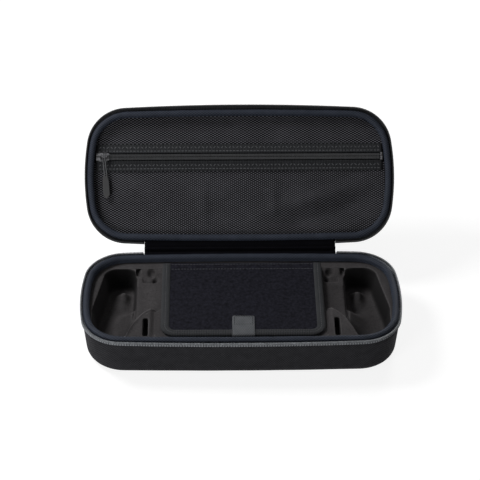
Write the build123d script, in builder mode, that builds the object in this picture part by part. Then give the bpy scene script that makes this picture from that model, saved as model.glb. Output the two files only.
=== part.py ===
from build123d import *
from math import cos, radians, sin, sqrt, tan
import os

os.makedirs("parts", exist_ok=True)

# A zipped carrying case for a handheld games console, open, with its lid leaning back.
# Millimetres. The origin is the middle of the base's underside, the front is -Y and up is +Z.

# The two moulded halves
body_length = 322.6  # over the shells, where their rims meet
body_depth = 142.0
corner_radius = 42.0
short_side_bow = 12.0  # how far each short side bulges from its corners
long_side_bow = 3.0
base_height = 48.0  # from the ground to the plane where the halves meet
lid_height = 30.0
shell_wall = 5.5  # woven cover, foam and lining, pressed into one
shell_draft = 5.0  # lean of the walls, in degrees
shell_edge_drop = 5.0  # the shells' edges stop short of the plane where the halves meet
base_bottom_radius = 11.0
lid_top_radius = 12.0
seat_gap = 0.3  # between pieces that lie against each other
meeting_gap = 0.3  # from a rim to the plane where the halves meet

# The rolled binding inside each rim
binding_inset = 0.8
binding_width = 8.0
binding_drop = 7.7  # its lowest edge, from the plane where the halves meet
binding_round = 3.7

# The zipper that runs round three sides
tape_proud_ends = 1.2  # how far the tape stands out past the shells on the short sides
tape_proud_front = 3.6  # and in the middle of the long sides
tape_thickness = 0.8
tape_tuck = 5.3  # how far the tape runs in under the binding
coil_width = 1.6
coil_height = 2.8
zipper_end_gap = 3.0  # from the hinge to each end of the zipper

# The cloth hinge between the zipper's ends
hinge_end_margin = 64.3  # from each end of the case to the hinge
hinge_setback = 6.0  # the fold's axis, behind the shells
hinge_bend = 1.5
hinge_fold = 0.6
lid_lean = 43.2  # the open lid, from upright

# The moulded tray in the base
ledge_drop = 8.0  # the tray's top, from the plane where the halves meet
tray_bottom_radius = 6.0
well_floor_height = 13.0  # from the ground
well_draft = 9.0
well_floor_radius = 5.0
well_back_margin = 18.0  # from the shells' outline to the wells
well_front_margin = 14.0
well_inner_margin = 55.8
well_end_margin = 11.0  # a little in front of the middle
well_waist_margin = 17.8  # and further back, where the ledge is wider
well_widest = 10.0  # the widest place, in front of the wells' middle
knob_height = 5.0
knob_radius = 5.0
knob_from_inner = 15.0  # from the well's inner wall
knob_from_back = 23.0
knob_draft = 18.0
shoulder_drop = 6.0  # the step beside the flap, below the ledge
shoulder_round = 8.0
hump_from_inner = 4.7  # the front hump's corner, from the well's inner wall
hump_from_front = 33.3
hump_run = 7.0
hump_rise = 20.0
trigger_pocket_drop = 5.0
trigger_pocket_length = 13.0
trigger_pocket_depth = 16.0
trigger_pocket_gap = 1.0  # from its back to the wells' back wall
slot_width = 5.0
slot_drop = 14.0
slot_length = 28.0
slot_from_seat = 8.1
slot_from_front = 3.0
bay_side_margin = 8.5  # from the flap's edge
bay_front_margin = 7.8
bay_floor_height = 11.4  # from the ground
bay_draft = 3.0
bay_corner = 9.0

# The flap over the storage bay
flap_offset = 1.8  # the flap is sewn a little to the right
flap_side_margin = 78.8  # from the shells' outline
flap_front_margin = 17.2
flap_back_margin = 9.6
flap_corner = 11.0
flap_panel_inset = 1.0
flap_panel_thickness = 2.2
flap_binding_width = 8.6
flap_binding_ply = 0.8  # the binding's upper ply, over the panel
flap_binding_under = 0.4
flap_strip_depth = 14.0
flap_seat_margin = 3.4
tab_offset = 0.4  # the tab, from the flap's middle
tab_width = 22.8
tab_length = 29.5
tab_thickness = 1.2

# The zipped net pocket in the lid
pocket_line = -19.9  # the pocket zipper's middle, in the lid, where -Y is away from the hinge
pocket_drop = 7.95  # the tapes' face, from the plane where the halves meet
pocket_tape_thickness = 0.55
pocket_tape_far = 13.5  # from the zipper's middle to the tape's far edge
pocket_tape_near = 15.0
pocket_split = 0.65  # half of the line between the two coils
pocket_coil_width = 3.2
pocket_coil_height = 1.6
pocket_zip_margin = 13.1  # from the shells' outline to the zipper's stops
pocket_stop_length = 2.4
net_thickness = 0.5
net_reach = 6.2  # how close the nets come to the zipper's middle

# The pocket's slider and its pull
slider_park = 5.8  # from its stop to the slider's middle
slider_length = 11.4
slider_width = 9.4
slider_nose = 3.0
slider_plate = 1.1
slider_flange = 0.55
slider_post = 0.7
slider_post_length = 3.6
running_gap = 0.3
bridge_height = 3.0
bridge_width = 2.4
bridge_bar = 1.1
bridge_length = 8.6
bridge_corner = 1.4
pull_cord = 1.3
pull_strand_gap = 2.4
pull_slack = 0.2
pull_turn = 1.5  # bends of the cord at the bridge
pull_bend = 4.0  # and further along
pull_bend_at = 5.0
pull_socket = 4.0  # the cord's ends run this far into the grip
pull_length = 20.0  # from the slider's middle to the grip
pull_tilt = 5.6
grip_length = 24.0
grip_width = 7.0
grip_neck = 4.6
grip_thickness = 3.2
grip_round = 0.9
grip_tip = 1.2
grip_level = -2.05  # the grip's middle, in front of the tape

# The two sliders of the main zipper, parked behind the ends of the hinge
main_slider_beyond = 10.5  # from the hinge's end
main_slider_drop = 11.2  # its middle, below the plane where the halves meet
zipper_tail_proud = 0.2  # behind the shells' outline
zipper_tail_length = 18.0
zipper_tail_depth = 12.0
main_pull_length = 11.0
main_grip_length = 15.0

# Places that follow from the sizes above
half_length, half_depth = body_length / 2, body_depth / 2
hinge_half_length = half_length - hinge_end_margin
zipper_end = hinge_half_length + zipper_end_gap
main_slider_x = hinge_half_length + main_slider_beyond
zipper_tail_y = half_depth + zipper_tail_proud
well_depth = base_height - ledge_drop - well_floor_height
well_back = half_depth - well_back_margin
well_front = well_front_margin - half_depth
well_inner = half_length - well_inner_margin
well_middle = half_length - well_end_margin
well_waist = half_length - well_waist_margin
knob_x = well_inner + knob_from_inner
knob_y = well_back - knob_from_back
hump_x = well_inner - hump_from_inner
hump_y = well_front + hump_from_front
flap_half_width = half_length - flap_side_margin
flap_front = flap_front_margin - half_depth
flap_back = half_depth - flap_back_margin
bay_half_length = flap_half_width - bay_side_margin
bay_half_depth = -flap_front - bay_front_margin
pocket_zip_half = half_length - pocket_zip_margin
slider_start = slider_park - pocket_zip_half


def outline_corner(length, depth, short_bow, long_bow, radius):
    """Middle of a corner's arc, and the directions from it to the arcs on each side."""
    long_radius = ((length / 2) ** 2 + long_bow**2) / (2 * long_bow)
    short_radius = ((depth / 2) ** 2 + short_bow**2) / (2 * short_bow)
    x, y = length / 2 - radius, depth / 2 - radius
    for _ in range(12):
        y = sqrt((long_radius - radius) ** 2 - x**2) - long_radius + depth / 2
        x = sqrt((short_radius - radius) ** 2 - y**2) - short_radius + length / 2
    to_long = Vector(x, y + long_radius - depth / 2).normalized()
    to_short = Vector(x + short_radius - length / 2, y).normalized()
    return Vector(x, y), to_long, to_short


def bowed_outline(length, depth, long_bow, radius, inset, mode):
    """Adds to the open sketch a rounded rectangle whose sides bow out, drawn in by inset."""
    middle, to_long, to_short = outline_corner(length, depth, short_side_bow, long_bow, radius)
    rounding = radius - inset
    long_end = middle + to_long * rounding
    short_end = middle + to_short * rounding
    bend = middle + (to_long + to_short).normalized() * rounding
    reach_x, reach_y = length / 2 - inset, depth / 2 - inset
    with BuildLine() as edge:
        for side in (1, -1):
            ThreePointArc(
                (-long_end.X, side * long_end.Y), (0, side * reach_y), (long_end.X, side * long_end.Y)
            )
            ThreePointArc(
                (side * short_end.X, -short_end.Y), (side * reach_x, 0), (side * short_end.X, short_end.Y)
            )
            for across in (1, -1):
                ThreePointArc(
                    (side * long_end.X, across * long_end.Y),
                    (side * bend.X, across * bend.Y),
                    (side * short_end.X, across * short_end.Y),
                )
    make_face(edge.edges(), mode=mode)


def body_outline(inset=0.0, mode=Mode.ADD):
    """The shells' outline at their rims, drawn in by inset."""
    bowed_outline(body_length, body_depth, long_side_bow, corner_radius, inset, mode)


def tape_outline(inset=0.0, mode=Mode.ADD):
    """The outline of the zipper's free edge, which bulges out along the long sides."""
    bowed_outline(
        body_length + 2 * tape_proud_ends,
        body_depth + 2 * tape_proud_front,
        long_side_bow + tape_proud_front - tape_proud_ends,
        corner_radius,
        inset,
        mode,
    )


def hinge_gap(gap_half_length):
    """Cuts the open sketch away along the hinge, so that a ring stops at both of its ends."""
    with Locations((0, body_depth / 2)):
        Rectangle(2 * gap_half_length, body_depth / 2, mode=Mode.SUBTRACT)


# Each rim's plane: Z points into its half, +Y is the side of the hinge.
hinge_y = body_depth / 2 + hinge_setback
opening = radians(90 + lid_lean)
base_rim = Plane(origin=(0, 0, base_height), x_dir=(-1, 0, 0), z_dir=(0, 0, -1))
lid_rim = Plane(
    origin=(0, hinge_y - hinge_y * cos(opening), base_height + hinge_y * sin(opening)),
    x_dir=(1, 0, 0),
    z_dir=(0, sin(opening), cos(opening)),
)
base_depth_axis = Axis((0, 0, 0), base_rim.z_dir)
lid_depth_axis = Axis((0, 0, 0), lid_rim.z_dir)
draft_slope = tan(radians(shell_draft))
wall_across = shell_wall / cos(radians(shell_draft))  # the wall's thickness along a rim


def moulded_shell(rim, depth_axis, height, end_radius):
    """A drafted, hollow half of the case, open at its rim."""
    with BuildPart() as shell:
        with BuildSketch(rim.offset(shell_edge_drop)):
            body_outline()
        extrude(amount=height - shell_edge_drop, taper=shell_draft)
        fillet(shell.faces().sort_by(depth_axis)[-1].edges(), radius=end_radius)
        with BuildSketch(rim.offset(shell_edge_drop)):
            body_outline(wall_across)
        extrude(amount=height - shell_edge_drop - shell_wall, taper=shell_draft, mode=Mode.SUBTRACT)
        inner_end = shell.faces().filter_by(GeomType.PLANE).sort_by(depth_axis)[-2]
        fillet(inner_end.edges(), radius=end_radius - shell_wall)
    return shell


def rim_binding(rim, depth_axis):
    """The soft roll that covers a shell's raw edge and hangs a little way down inside it."""
    with BuildPart() as binding:
        with BuildSketch(rim.offset(meeting_gap)):
            body_outline(binding_inset)
            body_outline(binding_inset + binding_width, mode=Mode.SUBTRACT)
        extrude(amount=shell_edge_drop - tape_thickness - meeting_gap)
        with BuildSketch(rim.offset(shell_edge_drop - tape_thickness)):
            body_outline(shell_wall + seat_gap)
            body_outline(binding_inset + binding_width, mode=Mode.SUBTRACT)
        extrude(amount=binding_drop - shell_edge_drop + tape_thickness)
        fillet(binding.faces().sort_by(depth_axis)[0].edges(), radius=binding_round)
    return binding


def zipper_tape(rim, depth_axis):
    """Half of the zipper's tape: tucked under the binding, then turned up to its free edge."""
    with BuildPart() as tape:
        with BuildSketch(rim.offset(shell_edge_drop - tape_thickness)):
            tape_outline()
            body_outline(tape_tuck, mode=Mode.SUBTRACT)
            hinge_gap(zipper_end)
        extrude(amount=tape_thickness)
        with BuildSketch(rim.offset(meeting_gap + coil_height)):
            tape_outline()
            tape_outline(tape_thickness, mode=Mode.SUBTRACT)
            hinge_gap(zipper_end)
        extrude(amount=shell_edge_drop - tape_thickness - meeting_gap - coil_height)
    return tape


def zipper_coil(rim, depth_axis):
    """Half of the zipper's coil, along the tape's free edge."""
    with BuildPart() as coil:
        with BuildSketch(rim.offset(meeting_gap)):
            tape_outline()
            tape_outline(coil_width, mode=Mode.SUBTRACT)
            hinge_gap(zipper_end)
        extrude(amount=coil_height)
    return coil


base_shell = moulded_shell(base_rim, base_depth_axis, base_height, base_bottom_radius)
base_shell.part.label = "base_shell"
export_step(base_shell.part, "parts/base_shell.step")

lid_shell = moulded_shell(lid_rim, lid_depth_axis, lid_height, lid_top_radius)
lid_shell.part.label = "lid_shell"
export_step(lid_shell.part, "parts/lid_shell.step")

for half, rim, axis in (("base", base_rim, base_depth_axis), ("lid", lid_rim, lid_depth_axis)):
    for piece_name, build_piece in (
        ("rim_binding", rim_binding),
        ("zipper_tape", zipper_tape),
        ("zipper_coil", zipper_coil),
    ):
        piece = build_piece(rim, axis)
        piece.part.label = f"{half}_{piece_name}"
        export_step(piece.part, f"parts/{half}_{piece_name}.step")

# The cloth hinge is a strip folded along the axis on which the lid turns.
hinge_web_level = shell_edge_drop - tape_thickness / 2
hinge_tuck_y = body_depth / 2 - tape_tuck
with BuildPart() as hinge_fabric:
    with BuildSketch(Plane.YZ) as hinge_section:
        with BuildLine() as hinge_line:
            lid_bend = lid_rim.from_local_coords(Vector(0, hinge_y, hinge_web_level))
            lid_tuck = lid_rim.from_local_coords(Vector(0, hinge_tuck_y, hinge_web_level))
            FilletPolyline(
                (hinge_tuck_y, base_height - hinge_web_level),
                (hinge_y, base_height - hinge_web_level),
                (hinge_y, base_height),
                (lid_bend.Y, lid_bend.Z),
                (lid_tuck.Y, lid_tuck.Z),
                radius=(hinge_bend, hinge_fold, hinge_bend),
            )
        trace(line_width=tape_thickness)
    extrude(amount=hinge_half_length, both=True)
hinge_fabric.part.label = "hinge_fabric"
export_step(hinge_fabric.part, "parts/hinge_fabric.step")

# The tray: a ledge, a seat for the flap, a storage bay, and a well for each end of the console
ledge = base_rim.offset(ledge_drop)
tray_inset = wall_across + (ledge_drop - shell_edge_drop) * draft_slope + seat_gap
flap_thickness = flap_binding_under + flap_panel_thickness + flap_binding_ply
flap_seat_drop = flap_thickness - flap_binding_ply
seat_half_length = flap_half_width + flap_offset + flap_seat_margin
seat_back = flap_back - flap_strip_depth + flap_seat_margin
seat_front = flap_front - flap_seat_margin
flap_seat = ledge.offset(flap_seat_drop)
with BuildPart() as base_tray:
    with BuildSketch(ledge):
        body_outline(tray_inset)
    extrude(amount=base_height - shell_wall - ledge_drop, taper=shell_draft)
    fillet(base_tray.faces().sort_by(Axis.Z)[0].edges(), radius=tray_bottom_radius)

    with BuildSketch(ledge) as wells:
        with BuildLine():
            FilletPolyline(
                (well_inner, well_back),
                (well_waist - 5, well_back),
                (well_waist, well_back - 29),
                (well_middle, (well_back + well_front) / 2 - well_widest),
                (well_middle - 2, well_front),
                (well_inner + hump_run, well_front),
                (well_inner, well_front + hump_rise),
                radius=(12, 14, 40, 40, 28, 12, 20),
                close=True,
            )
        make_face()
        mirror(about=Plane.YZ)
    extrude(amount=well_depth, taper=well_draft, mode=Mode.SUBTRACT)
    well_floors = base_tray.faces().filter_by(GeomType.PLANE).group_by(Axis.Z)[1]
    fillet(well_floors.edges(), radius=well_floor_radius)

    with BuildSketch(ledge) as shoulders:
        with BuildLine():
            Polyline(
                (bay_half_length, well_back),
                (well_inner + 2.5, well_back),
                (well_inner + 2.5, hump_y - hump_rise - 0.9),
                (hump_x, hump_y),
                (bay_half_length, hump_y + hump_rise),
                close=True,
            )
        make_face()
        fillet(shoulders.vertices().sort_by(SortBy.DISTANCE)[0], radius=shoulder_round)
        mirror(about=Plane.YZ)
    extrude(amount=shoulder_drop, mode=Mode.SUBTRACT)

    with BuildSketch(ledge) as seat:
        with Locations((0, (seat_back + seat_front) / 2)):
            RectangleRounded(2 * seat_half_length, seat_back - seat_front, flap_corner)
    extrude(amount=flap_seat_drop, mode=Mode.SUBTRACT)

    with BuildSketch(flap_seat) as bay:
        RectangleRounded(2 * bay_half_length, 2 * bay_half_depth, bay_corner)
    bay_depth = base_height - ledge_drop - flap_seat_drop - bay_floor_height
    extrude(amount=bay_depth, taper=bay_draft, mode=Mode.SUBTRACT)

    with BuildSketch(ledge.offset(shoulder_drop)) as trigger_pockets:
        pocket_x = seat_half_length + trigger_pocket_length / 2
        pocket_y = well_back - trigger_pocket_gap - trigger_pocket_depth / 2
        with Locations((pocket_x, pocket_y), (-pocket_x, pocket_y)):
            RectangleRounded(trigger_pocket_length, trigger_pocket_depth, 3)
    extrude(amount=trigger_pocket_drop, mode=Mode.SUBTRACT)

    with BuildSketch(ledge) as slots:
        slot_x = seat_half_length + slot_from_seat
        slot_y = well_front + slot_from_front + slot_length / 2
        with Locations((slot_x, slot_y), (-slot_x, slot_y)):
            SlotOverall(slot_length, slot_width, rotation=90)
    extrude(amount=slot_drop, mode=Mode.SUBTRACT)

    knob_base = Plane.XY.offset(base_height - ledge_drop - well_depth)
    with BuildSketch(knob_base):
        with Locations((knob_x, knob_y), (-knob_x, knob_y)):
            Circle(knob_radius)
    extrude(amount=knob_height, taper=knob_draft)
base_tray.part.label = "base_tray"
export_step(base_tray.part, "parts/base_tray.step")

# The flap: a stiff panel, a folded binding round three sides, and the strip that it hinges on
flap_panel_plane = Plane.XY.offset(base_height - ledge_drop - flap_seat_drop + flap_binding_under)
flap_seat_plane = Plane.XY.offset(base_height - ledge_drop - flap_seat_drop)
flap_strip_front = flap_back - flap_strip_depth
panel_front = flap_front + flap_panel_inset
panel_back = flap_strip_front + flap_seat_margin - seat_gap
with BuildPart() as flap_panel:
    with BuildSketch(flap_panel_plane) as panel_outline:
        with Locations((flap_offset, (panel_front + panel_back) / 2)):
            Rectangle(2 * (flap_half_width - flap_panel_inset), panel_back - panel_front)
        front_corners = panel_outline.vertices().group_by(Axis.Y)[0]
        fillet(front_corners, radius=flap_corner - flap_panel_inset)
    extrude(amount=flap_panel_thickness)
flap_panel.part.label = "flap_panel"
export_step(flap_panel.part, "parts/flap_panel.step")

with BuildPart() as flap_binding:
    with BuildSketch(flap_seat_plane) as band:
        with Locations((flap_offset, (flap_front + flap_strip_front) / 2)):
            Rectangle(2 * flap_half_width, flap_strip_front - flap_front)
        fillet(band.vertices().group_by(Axis.Y)[0], radius=flap_corner)
        inner_front = flap_front + flap_binding_width
        with BuildSketch(mode=Mode.PRIVATE) as inner:
            with Locations((flap_offset, (inner_front + flap_strip_front) / 2)):
                Rectangle(2 * (flap_half_width - flap_binding_width), flap_strip_front - inner_front)
            fillet(inner.vertices().group_by(Axis.Y)[0], radius=flap_corner - 5)
        add(inner.sketch, mode=Mode.SUBTRACT)
    extrude(amount=flap_thickness)
    add(flap_panel.part, mode=Mode.SUBTRACT)
flap_binding.part.label = "flap_binding"
export_step(flap_binding.part, "parts/flap_binding.step")

with BuildPart() as flap_hinge_strip:
    with BuildSketch(Plane.XY.offset(base_height - ledge_drop)):
        with Locations((flap_offset, (flap_strip_front + flap_back) / 2)):
            Rectangle(2 * flap_half_width, flap_strip_depth)
    extrude(amount=flap_binding_ply)
flap_hinge_strip.part.label = "flap_hinge_strip"
export_step(flap_hinge_strip.part, "parts/flap_hinge_strip.step")

# The pull tab lies on the flap, steps up over its binding and hangs over its front edge.
tab_back = flap_front + tab_length
tab_step = inner_front + seat_gap
tab_low = base_height - ledge_drop
tab_high = tab_low + flap_binding_ply
tab_end = tab_low - flap_seat_drop + seat_gap
with BuildPart() as flap_pull_tab:
    with BuildSketch(Plane.YZ.offset(flap_offset + tab_offset)):
        with BuildLine():
            Polyline(
                (tab_back, tab_low),
                (tab_step, tab_low),
                (tab_step, tab_high),
                (flap_front, tab_high),
                (flap_front, tab_end),
                (flap_front - tab_thickness, tab_end),
                (flap_front - tab_thickness, tab_high + tab_thickness),
                (tab_step + tab_thickness, tab_high + tab_thickness),
                (tab_step + tab_thickness, tab_low + tab_thickness),
                (tab_back, tab_low + tab_thickness),
                close=True,
            )
        make_face()
    extrude(amount=tab_width / 2, both=True)
flap_pull_tab.part.label = "flap_pull_tab"
export_step(flap_pull_tab.part, "parts/flap_pull_tab.step")

# The pocket in the lid: two nets, sewn to the two tapes of a zipper that runs along it
net_level = pocket_drop + pocket_tape_thickness
net_inset = wall_across + (net_level - shell_edge_drop) * draft_slope + seat_gap
tape_inset = wall_across + (pocket_drop - shell_edge_drop) * draft_slope + seat_gap


def pocket_band(level, thickness, near, far, inset):
    """A flat band across the lid, from near to far of the zipper's middle."""
    with BuildPart() as band:
        with BuildSketch(lid_rim.offset(level)):
            body_outline(inset)
            with Locations((0, pocket_line + (near + far) / 2)):
                Rectangle(body_length, abs(far - near), mode=Mode.INTERSECT)
        extrude(amount=thickness)
    return band


def pocket_bar(low, high, start, end):
    """A bar of the pocket's zipper on its tapes, between two distances from its middle."""
    with BuildPart() as bar:
        with BuildSketch(lid_rim.offset(pocket_drop)):
            with Locations(((start + end) / 2, pocket_line + (low + high) / 2)):
                Rectangle(end - start, high - low)
        extrude(amount=-pocket_coil_height)
    return bar


coil_outer = pocket_split + pocket_coil_width
tape_thick = pocket_tape_thickness
zip_half = pocket_zip_half
stop_end = zip_half + pocket_stop_length
pocket_pieces = {
    "pocket_net_upper": pocket_band(net_level, net_thickness, -body_depth, -net_reach, net_inset),
    "pocket_net_lower": pocket_band(net_level, net_thickness, net_reach, body_depth, net_inset),
    "pocket_tape_upper": pocket_band(pocket_drop, tape_thick, -pocket_tape_far, -pocket_split, tape_inset),
    "pocket_tape_lower": pocket_band(pocket_drop, tape_thick, pocket_split, pocket_tape_near, tape_inset),
    "pocket_coil_upper": pocket_bar(-coil_outer, -pocket_split, -zip_half, zip_half),
    "pocket_coil_lower": pocket_bar(pocket_split, coil_outer, -zip_half, zip_half),
    "pocket_stop_left": pocket_bar(-coil_outer, coil_outer, -stop_end, -zip_half),
    "pocket_stop_right": pocket_bar(-coil_outer, coil_outer, zip_half, stop_end),
}
for name, piece in pocket_pieces.items():
    piece.part.label = name
    export_step(piece.part, f"parts/{name}.step")

# Sliders and their pulls, drawn on a plane whose X is the slider's travel, whose origin lies
# on the face of the zipper's tape, whose Z runs into the tape and whose +Y is the side of the pull
channel_top = -pocket_coil_height - running_gap
channel_floor = pocket_tape_thickness + running_gap
slider_top = channel_top - slider_plate
bar_middle = slider_top - bridge_height + bridge_bar / 2
strand_under = bar_middle + bridge_bar / 2 + running_gap + pull_cord / 2
strand_over = bar_middle - bridge_bar / 2 - running_gap - pull_cord / 2
strand_turn = -(bridge_width / 2 + running_gap + pull_cord / 2 + pull_slack)


def zipper_slider(plan):
    """Two plates joined by a post, with flanges that hold the coils, and a bridge on top."""
    section = Plane(origin=plan.origin, x_dir=plan.y_dir, z_dir=plan.x_dir)
    side_view = Plane(origin=plan.origin, x_dir=plan.x_dir, z_dir=plan.y_dir)
    half_run, half_width = slider_length / 2, slider_width / 2
    foot = -slider_top
    with BuildPart() as slider:
        with BuildSketch(section):
            for plate in (slider_top, channel_floor):
                with Locations((0, plate)):
                    Rectangle(slider_width, slider_plate, align=(Align.CENTER, Align.MIN))
            for side in (1, -1):
                with Locations((side * (slider_width - slider_flange) / 2, channel_top)):
                    Rectangle(slider_flange, -channel_top - running_gap, align=(Align.CENTER, Align.MIN))
        extrude(amount=half_run, both=True)
        with BuildSketch(plan):
            with BuildLine() as plan_edge:
                Polyline(
                    (-half_run, half_width),
                    (half_run - slider_nose, half_width),
                    (half_run, half_width - slider_nose / 2),
                    (half_run, slider_nose / 2 - half_width),
                    (half_run - slider_nose, -half_width),
                    (-half_run, -half_width),
                    close=True,
                )
            make_face(plan_edge.edges())
        extrude(amount=slider_width, both=True, mode=Mode.INTERSECT)
        with BuildSketch(plan.offset(channel_top)):
            with Locations(((slider_post_length - slider_length) / 2, 0)):
                Rectangle(slider_post_length, slider_post)
        extrude(amount=channel_floor - channel_top)
        with BuildSketch(side_view):
            with Locations((0, foot + bridge_height / 2)):
                RectangleRounded(bridge_length, bridge_height, bridge_corner)
            with Locations((0, foot + (bridge_height - bridge_bar) / 2)):
                Rectangle(
                    bridge_length - 2 * bridge_bar, bridge_height - bridge_bar, mode=Mode.SUBTRACT
                )
            with Locations((0, foot + bridge_corner / 2)):
                Rectangle(bridge_length, bridge_corner)
                Rectangle(bridge_length - 2 * bridge_bar, bridge_corner, mode=Mode.SUBTRACT)
        extrude(amount=bridge_width / 2, both=True)
    return slider


def pull_loop(plan, length, level):
    """A cord through the slider's bridge and back over it, its two ends in the grip."""
    left, right = -pull_strand_gap / 2, pull_strand_gap / 2
    with BuildPart() as cord:
        with BuildLine(plan) as path:
            FilletPolyline(
                (left, length + pull_socket, level),
                (left, length, level),
                (left, pull_bend_at, strand_under),
                (left, strand_turn, strand_under),
                (right, strand_turn, strand_over),
                (right, pull_bend_at, strand_over),
                (right, length, level),
                (right, length + pull_socket, level),
                radius=(pull_bend, pull_bend, pull_turn, pull_turn, pull_bend, pull_bend),
            )
        with BuildSketch(Plane(origin=path.line @ 0, z_dir=path.line % 0)):
            Circle(pull_cord / 2)
        sweep(path=path.line)
    return cord


def pull_grip(plan, start, length, level, cord):
    """A flat moulded grip with a narrow neck and a pointed end, bored for the cord."""
    end = start + length
    with BuildPart() as grip:
        with BuildSketch(plan.offset(level)):
            with BuildLine() as grip_edge:
                FilletPolyline(
                    (grip_neck / 2, start),
                    (grip_width / 2, start + length / 4),
                    (grip_width / 2, end - grip_width / 2),
                    (0, end + grip_tip),
                    (-grip_width / 2, end - grip_width / 2),
                    (-grip_width / 2, start + length / 4),
                    (-grip_neck / 2, start),
                    radius=(0.8, 8, 3, 1.2, 3, 8, 0.8),
                    close=True,
                )
            make_face(grip_edge.edges())
        extrude(amount=grip_thickness / 2, both=True)
        faces = grip.faces().sort_by(Axis(plan.origin, plan.z_dir))
        fillet([*faces[0].edges(), *faces[-1].edges()], radius=grip_round)
        add(cord.part, mode=Mode.SUBTRACT)
    return grip


slider_middle = lid_rim.from_local_coords(Vector(slider_start, pocket_line, pocket_drop))
pocket_plan = Plane(origin=slider_middle, x_dir=lid_rim.x_dir, z_dir=lid_rim.z_dir)
pocket_pull_plan = pocket_plan.rotated((0, 0, pull_tilt))
pocket_slider = zipper_slider(pocket_plan)
pocket_cord = pull_loop(pocket_pull_plan, pull_length, grip_level)
pocket_grip = pull_grip(pocket_pull_plan, pull_length, grip_length, grip_level, pocket_cord)
slider_pieces = {
    "pocket_slider": pocket_slider,
    "pocket_pull_cord": pocket_cord,
    "pocket_pull_grip": pocket_grip,
}

# Each end of the main zipper is turned down behind the base, and a slider is parked on it.
main_face_y = zipper_tail_y + pocket_tape_thickness
main_plan = Plane(
    origin=(-main_slider_x, main_face_y, base_height - main_slider_drop),
    x_dir=(-1, 0, 0),
    z_dir=(0, -1, 0),
)
with BuildPart() as zipper_tail:
    with BuildSketch(main_plan):
        with Locations((0, shell_edge_drop - main_slider_drop)):
            Rectangle(zipper_tail_length, zipper_tail_depth, align=(Align.CENTER, Align.MIN))
        with Locations((-slider_length / 2 - running_gap, 0)):
            Rectangle(
                zipper_tail_length,
                2 * pocket_split,
                align=(Align.MIN, Align.CENTER),
                mode=Mode.SUBTRACT,
            )
    extrude(amount=pocket_tape_thickness)
    with BuildSketch(main_plan):
        for side in (1, -1):
            with Locations((0, side * (pocket_split + pocket_coil_width / 2))):
                Rectangle(zipper_tail_length, pocket_coil_width)
    extrude(amount=-pocket_coil_height)
main_slider = zipper_slider(main_plan)
main_cord = pull_loop(main_plan, main_pull_length, bar_middle)
main_grip = pull_grip(main_plan, main_pull_length, main_grip_length, bar_middle, main_cord)
for stem, piece in (
    ("zipper_tail", zipper_tail),
    ("main_slider", main_slider),
    ("main_pull_cord", main_cord),
    ("main_pull_grip", main_grip),
):
    with BuildPart() as mirrored:
        mirror(piece.part, about=Plane.YZ)
    slider_pieces[f"{stem}_left"] = piece
    slider_pieces[f"{stem}_right"] = mirrored
for name, piece in slider_pieces.items():
    piece.part.label = name
    export_step(piece.part, f"parts/{name}.step")
print("cord radii", pull_bend, pull_turn, "cord", pull_cord)
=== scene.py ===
import logging
from collections.abc import Iterable
from dataclasses import dataclass, field
from enum import Enum
from math import asin, atan2, cos, exp, hypot, pi, radians, sin, sqrt, tan
from typing import ClassVar

import bmesh
import bpy
from bmesh.types import BMEdge, BMesh, BMFace, BMVert
from bpy.types import ID, Material, NodeSocket, NodeTree, Object
from mathutils import Matrix, Vector, noise


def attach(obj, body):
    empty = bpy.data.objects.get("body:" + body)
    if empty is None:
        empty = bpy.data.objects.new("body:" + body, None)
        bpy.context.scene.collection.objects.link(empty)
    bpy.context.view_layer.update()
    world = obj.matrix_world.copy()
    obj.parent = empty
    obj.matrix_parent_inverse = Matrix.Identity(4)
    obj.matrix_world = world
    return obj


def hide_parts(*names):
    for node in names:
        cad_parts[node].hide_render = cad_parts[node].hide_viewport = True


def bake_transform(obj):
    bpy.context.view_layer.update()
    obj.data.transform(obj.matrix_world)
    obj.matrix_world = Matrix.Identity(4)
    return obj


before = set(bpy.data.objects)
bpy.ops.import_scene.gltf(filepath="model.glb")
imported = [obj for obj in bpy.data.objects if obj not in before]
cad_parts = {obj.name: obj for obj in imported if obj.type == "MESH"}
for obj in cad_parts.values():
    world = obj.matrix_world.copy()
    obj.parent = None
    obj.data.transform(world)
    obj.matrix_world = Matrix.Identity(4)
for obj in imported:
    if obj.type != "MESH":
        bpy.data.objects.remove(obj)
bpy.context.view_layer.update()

# The looks of a zipped carrying case for a handheld games console, open, with its lid leaning back.
# Sizes are in millimetres until a mesh is placed, and then in metres.
MM = 0.001
LOG = logging.getLogger("carrying_case")
Pair = tuple[float, float]
Triple = tuple[float, float, float]


class Half(Enum):
    """The two moulded halves. Each has a rim plane whose Z runs into the half."""

    BASE = "base"
    LID = "lid"


class Weave(Enum):
    """How a cloth's surface is made, which settles its pattern."""

    OXFORD = "oxford"
    RIBBED = "ribbed"
    KNITTED = "knitted"
    NET = "net"
    LOOPED = "looped"
    FLOCKED = "flocked"
    BRAIDED = "braided"


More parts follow.
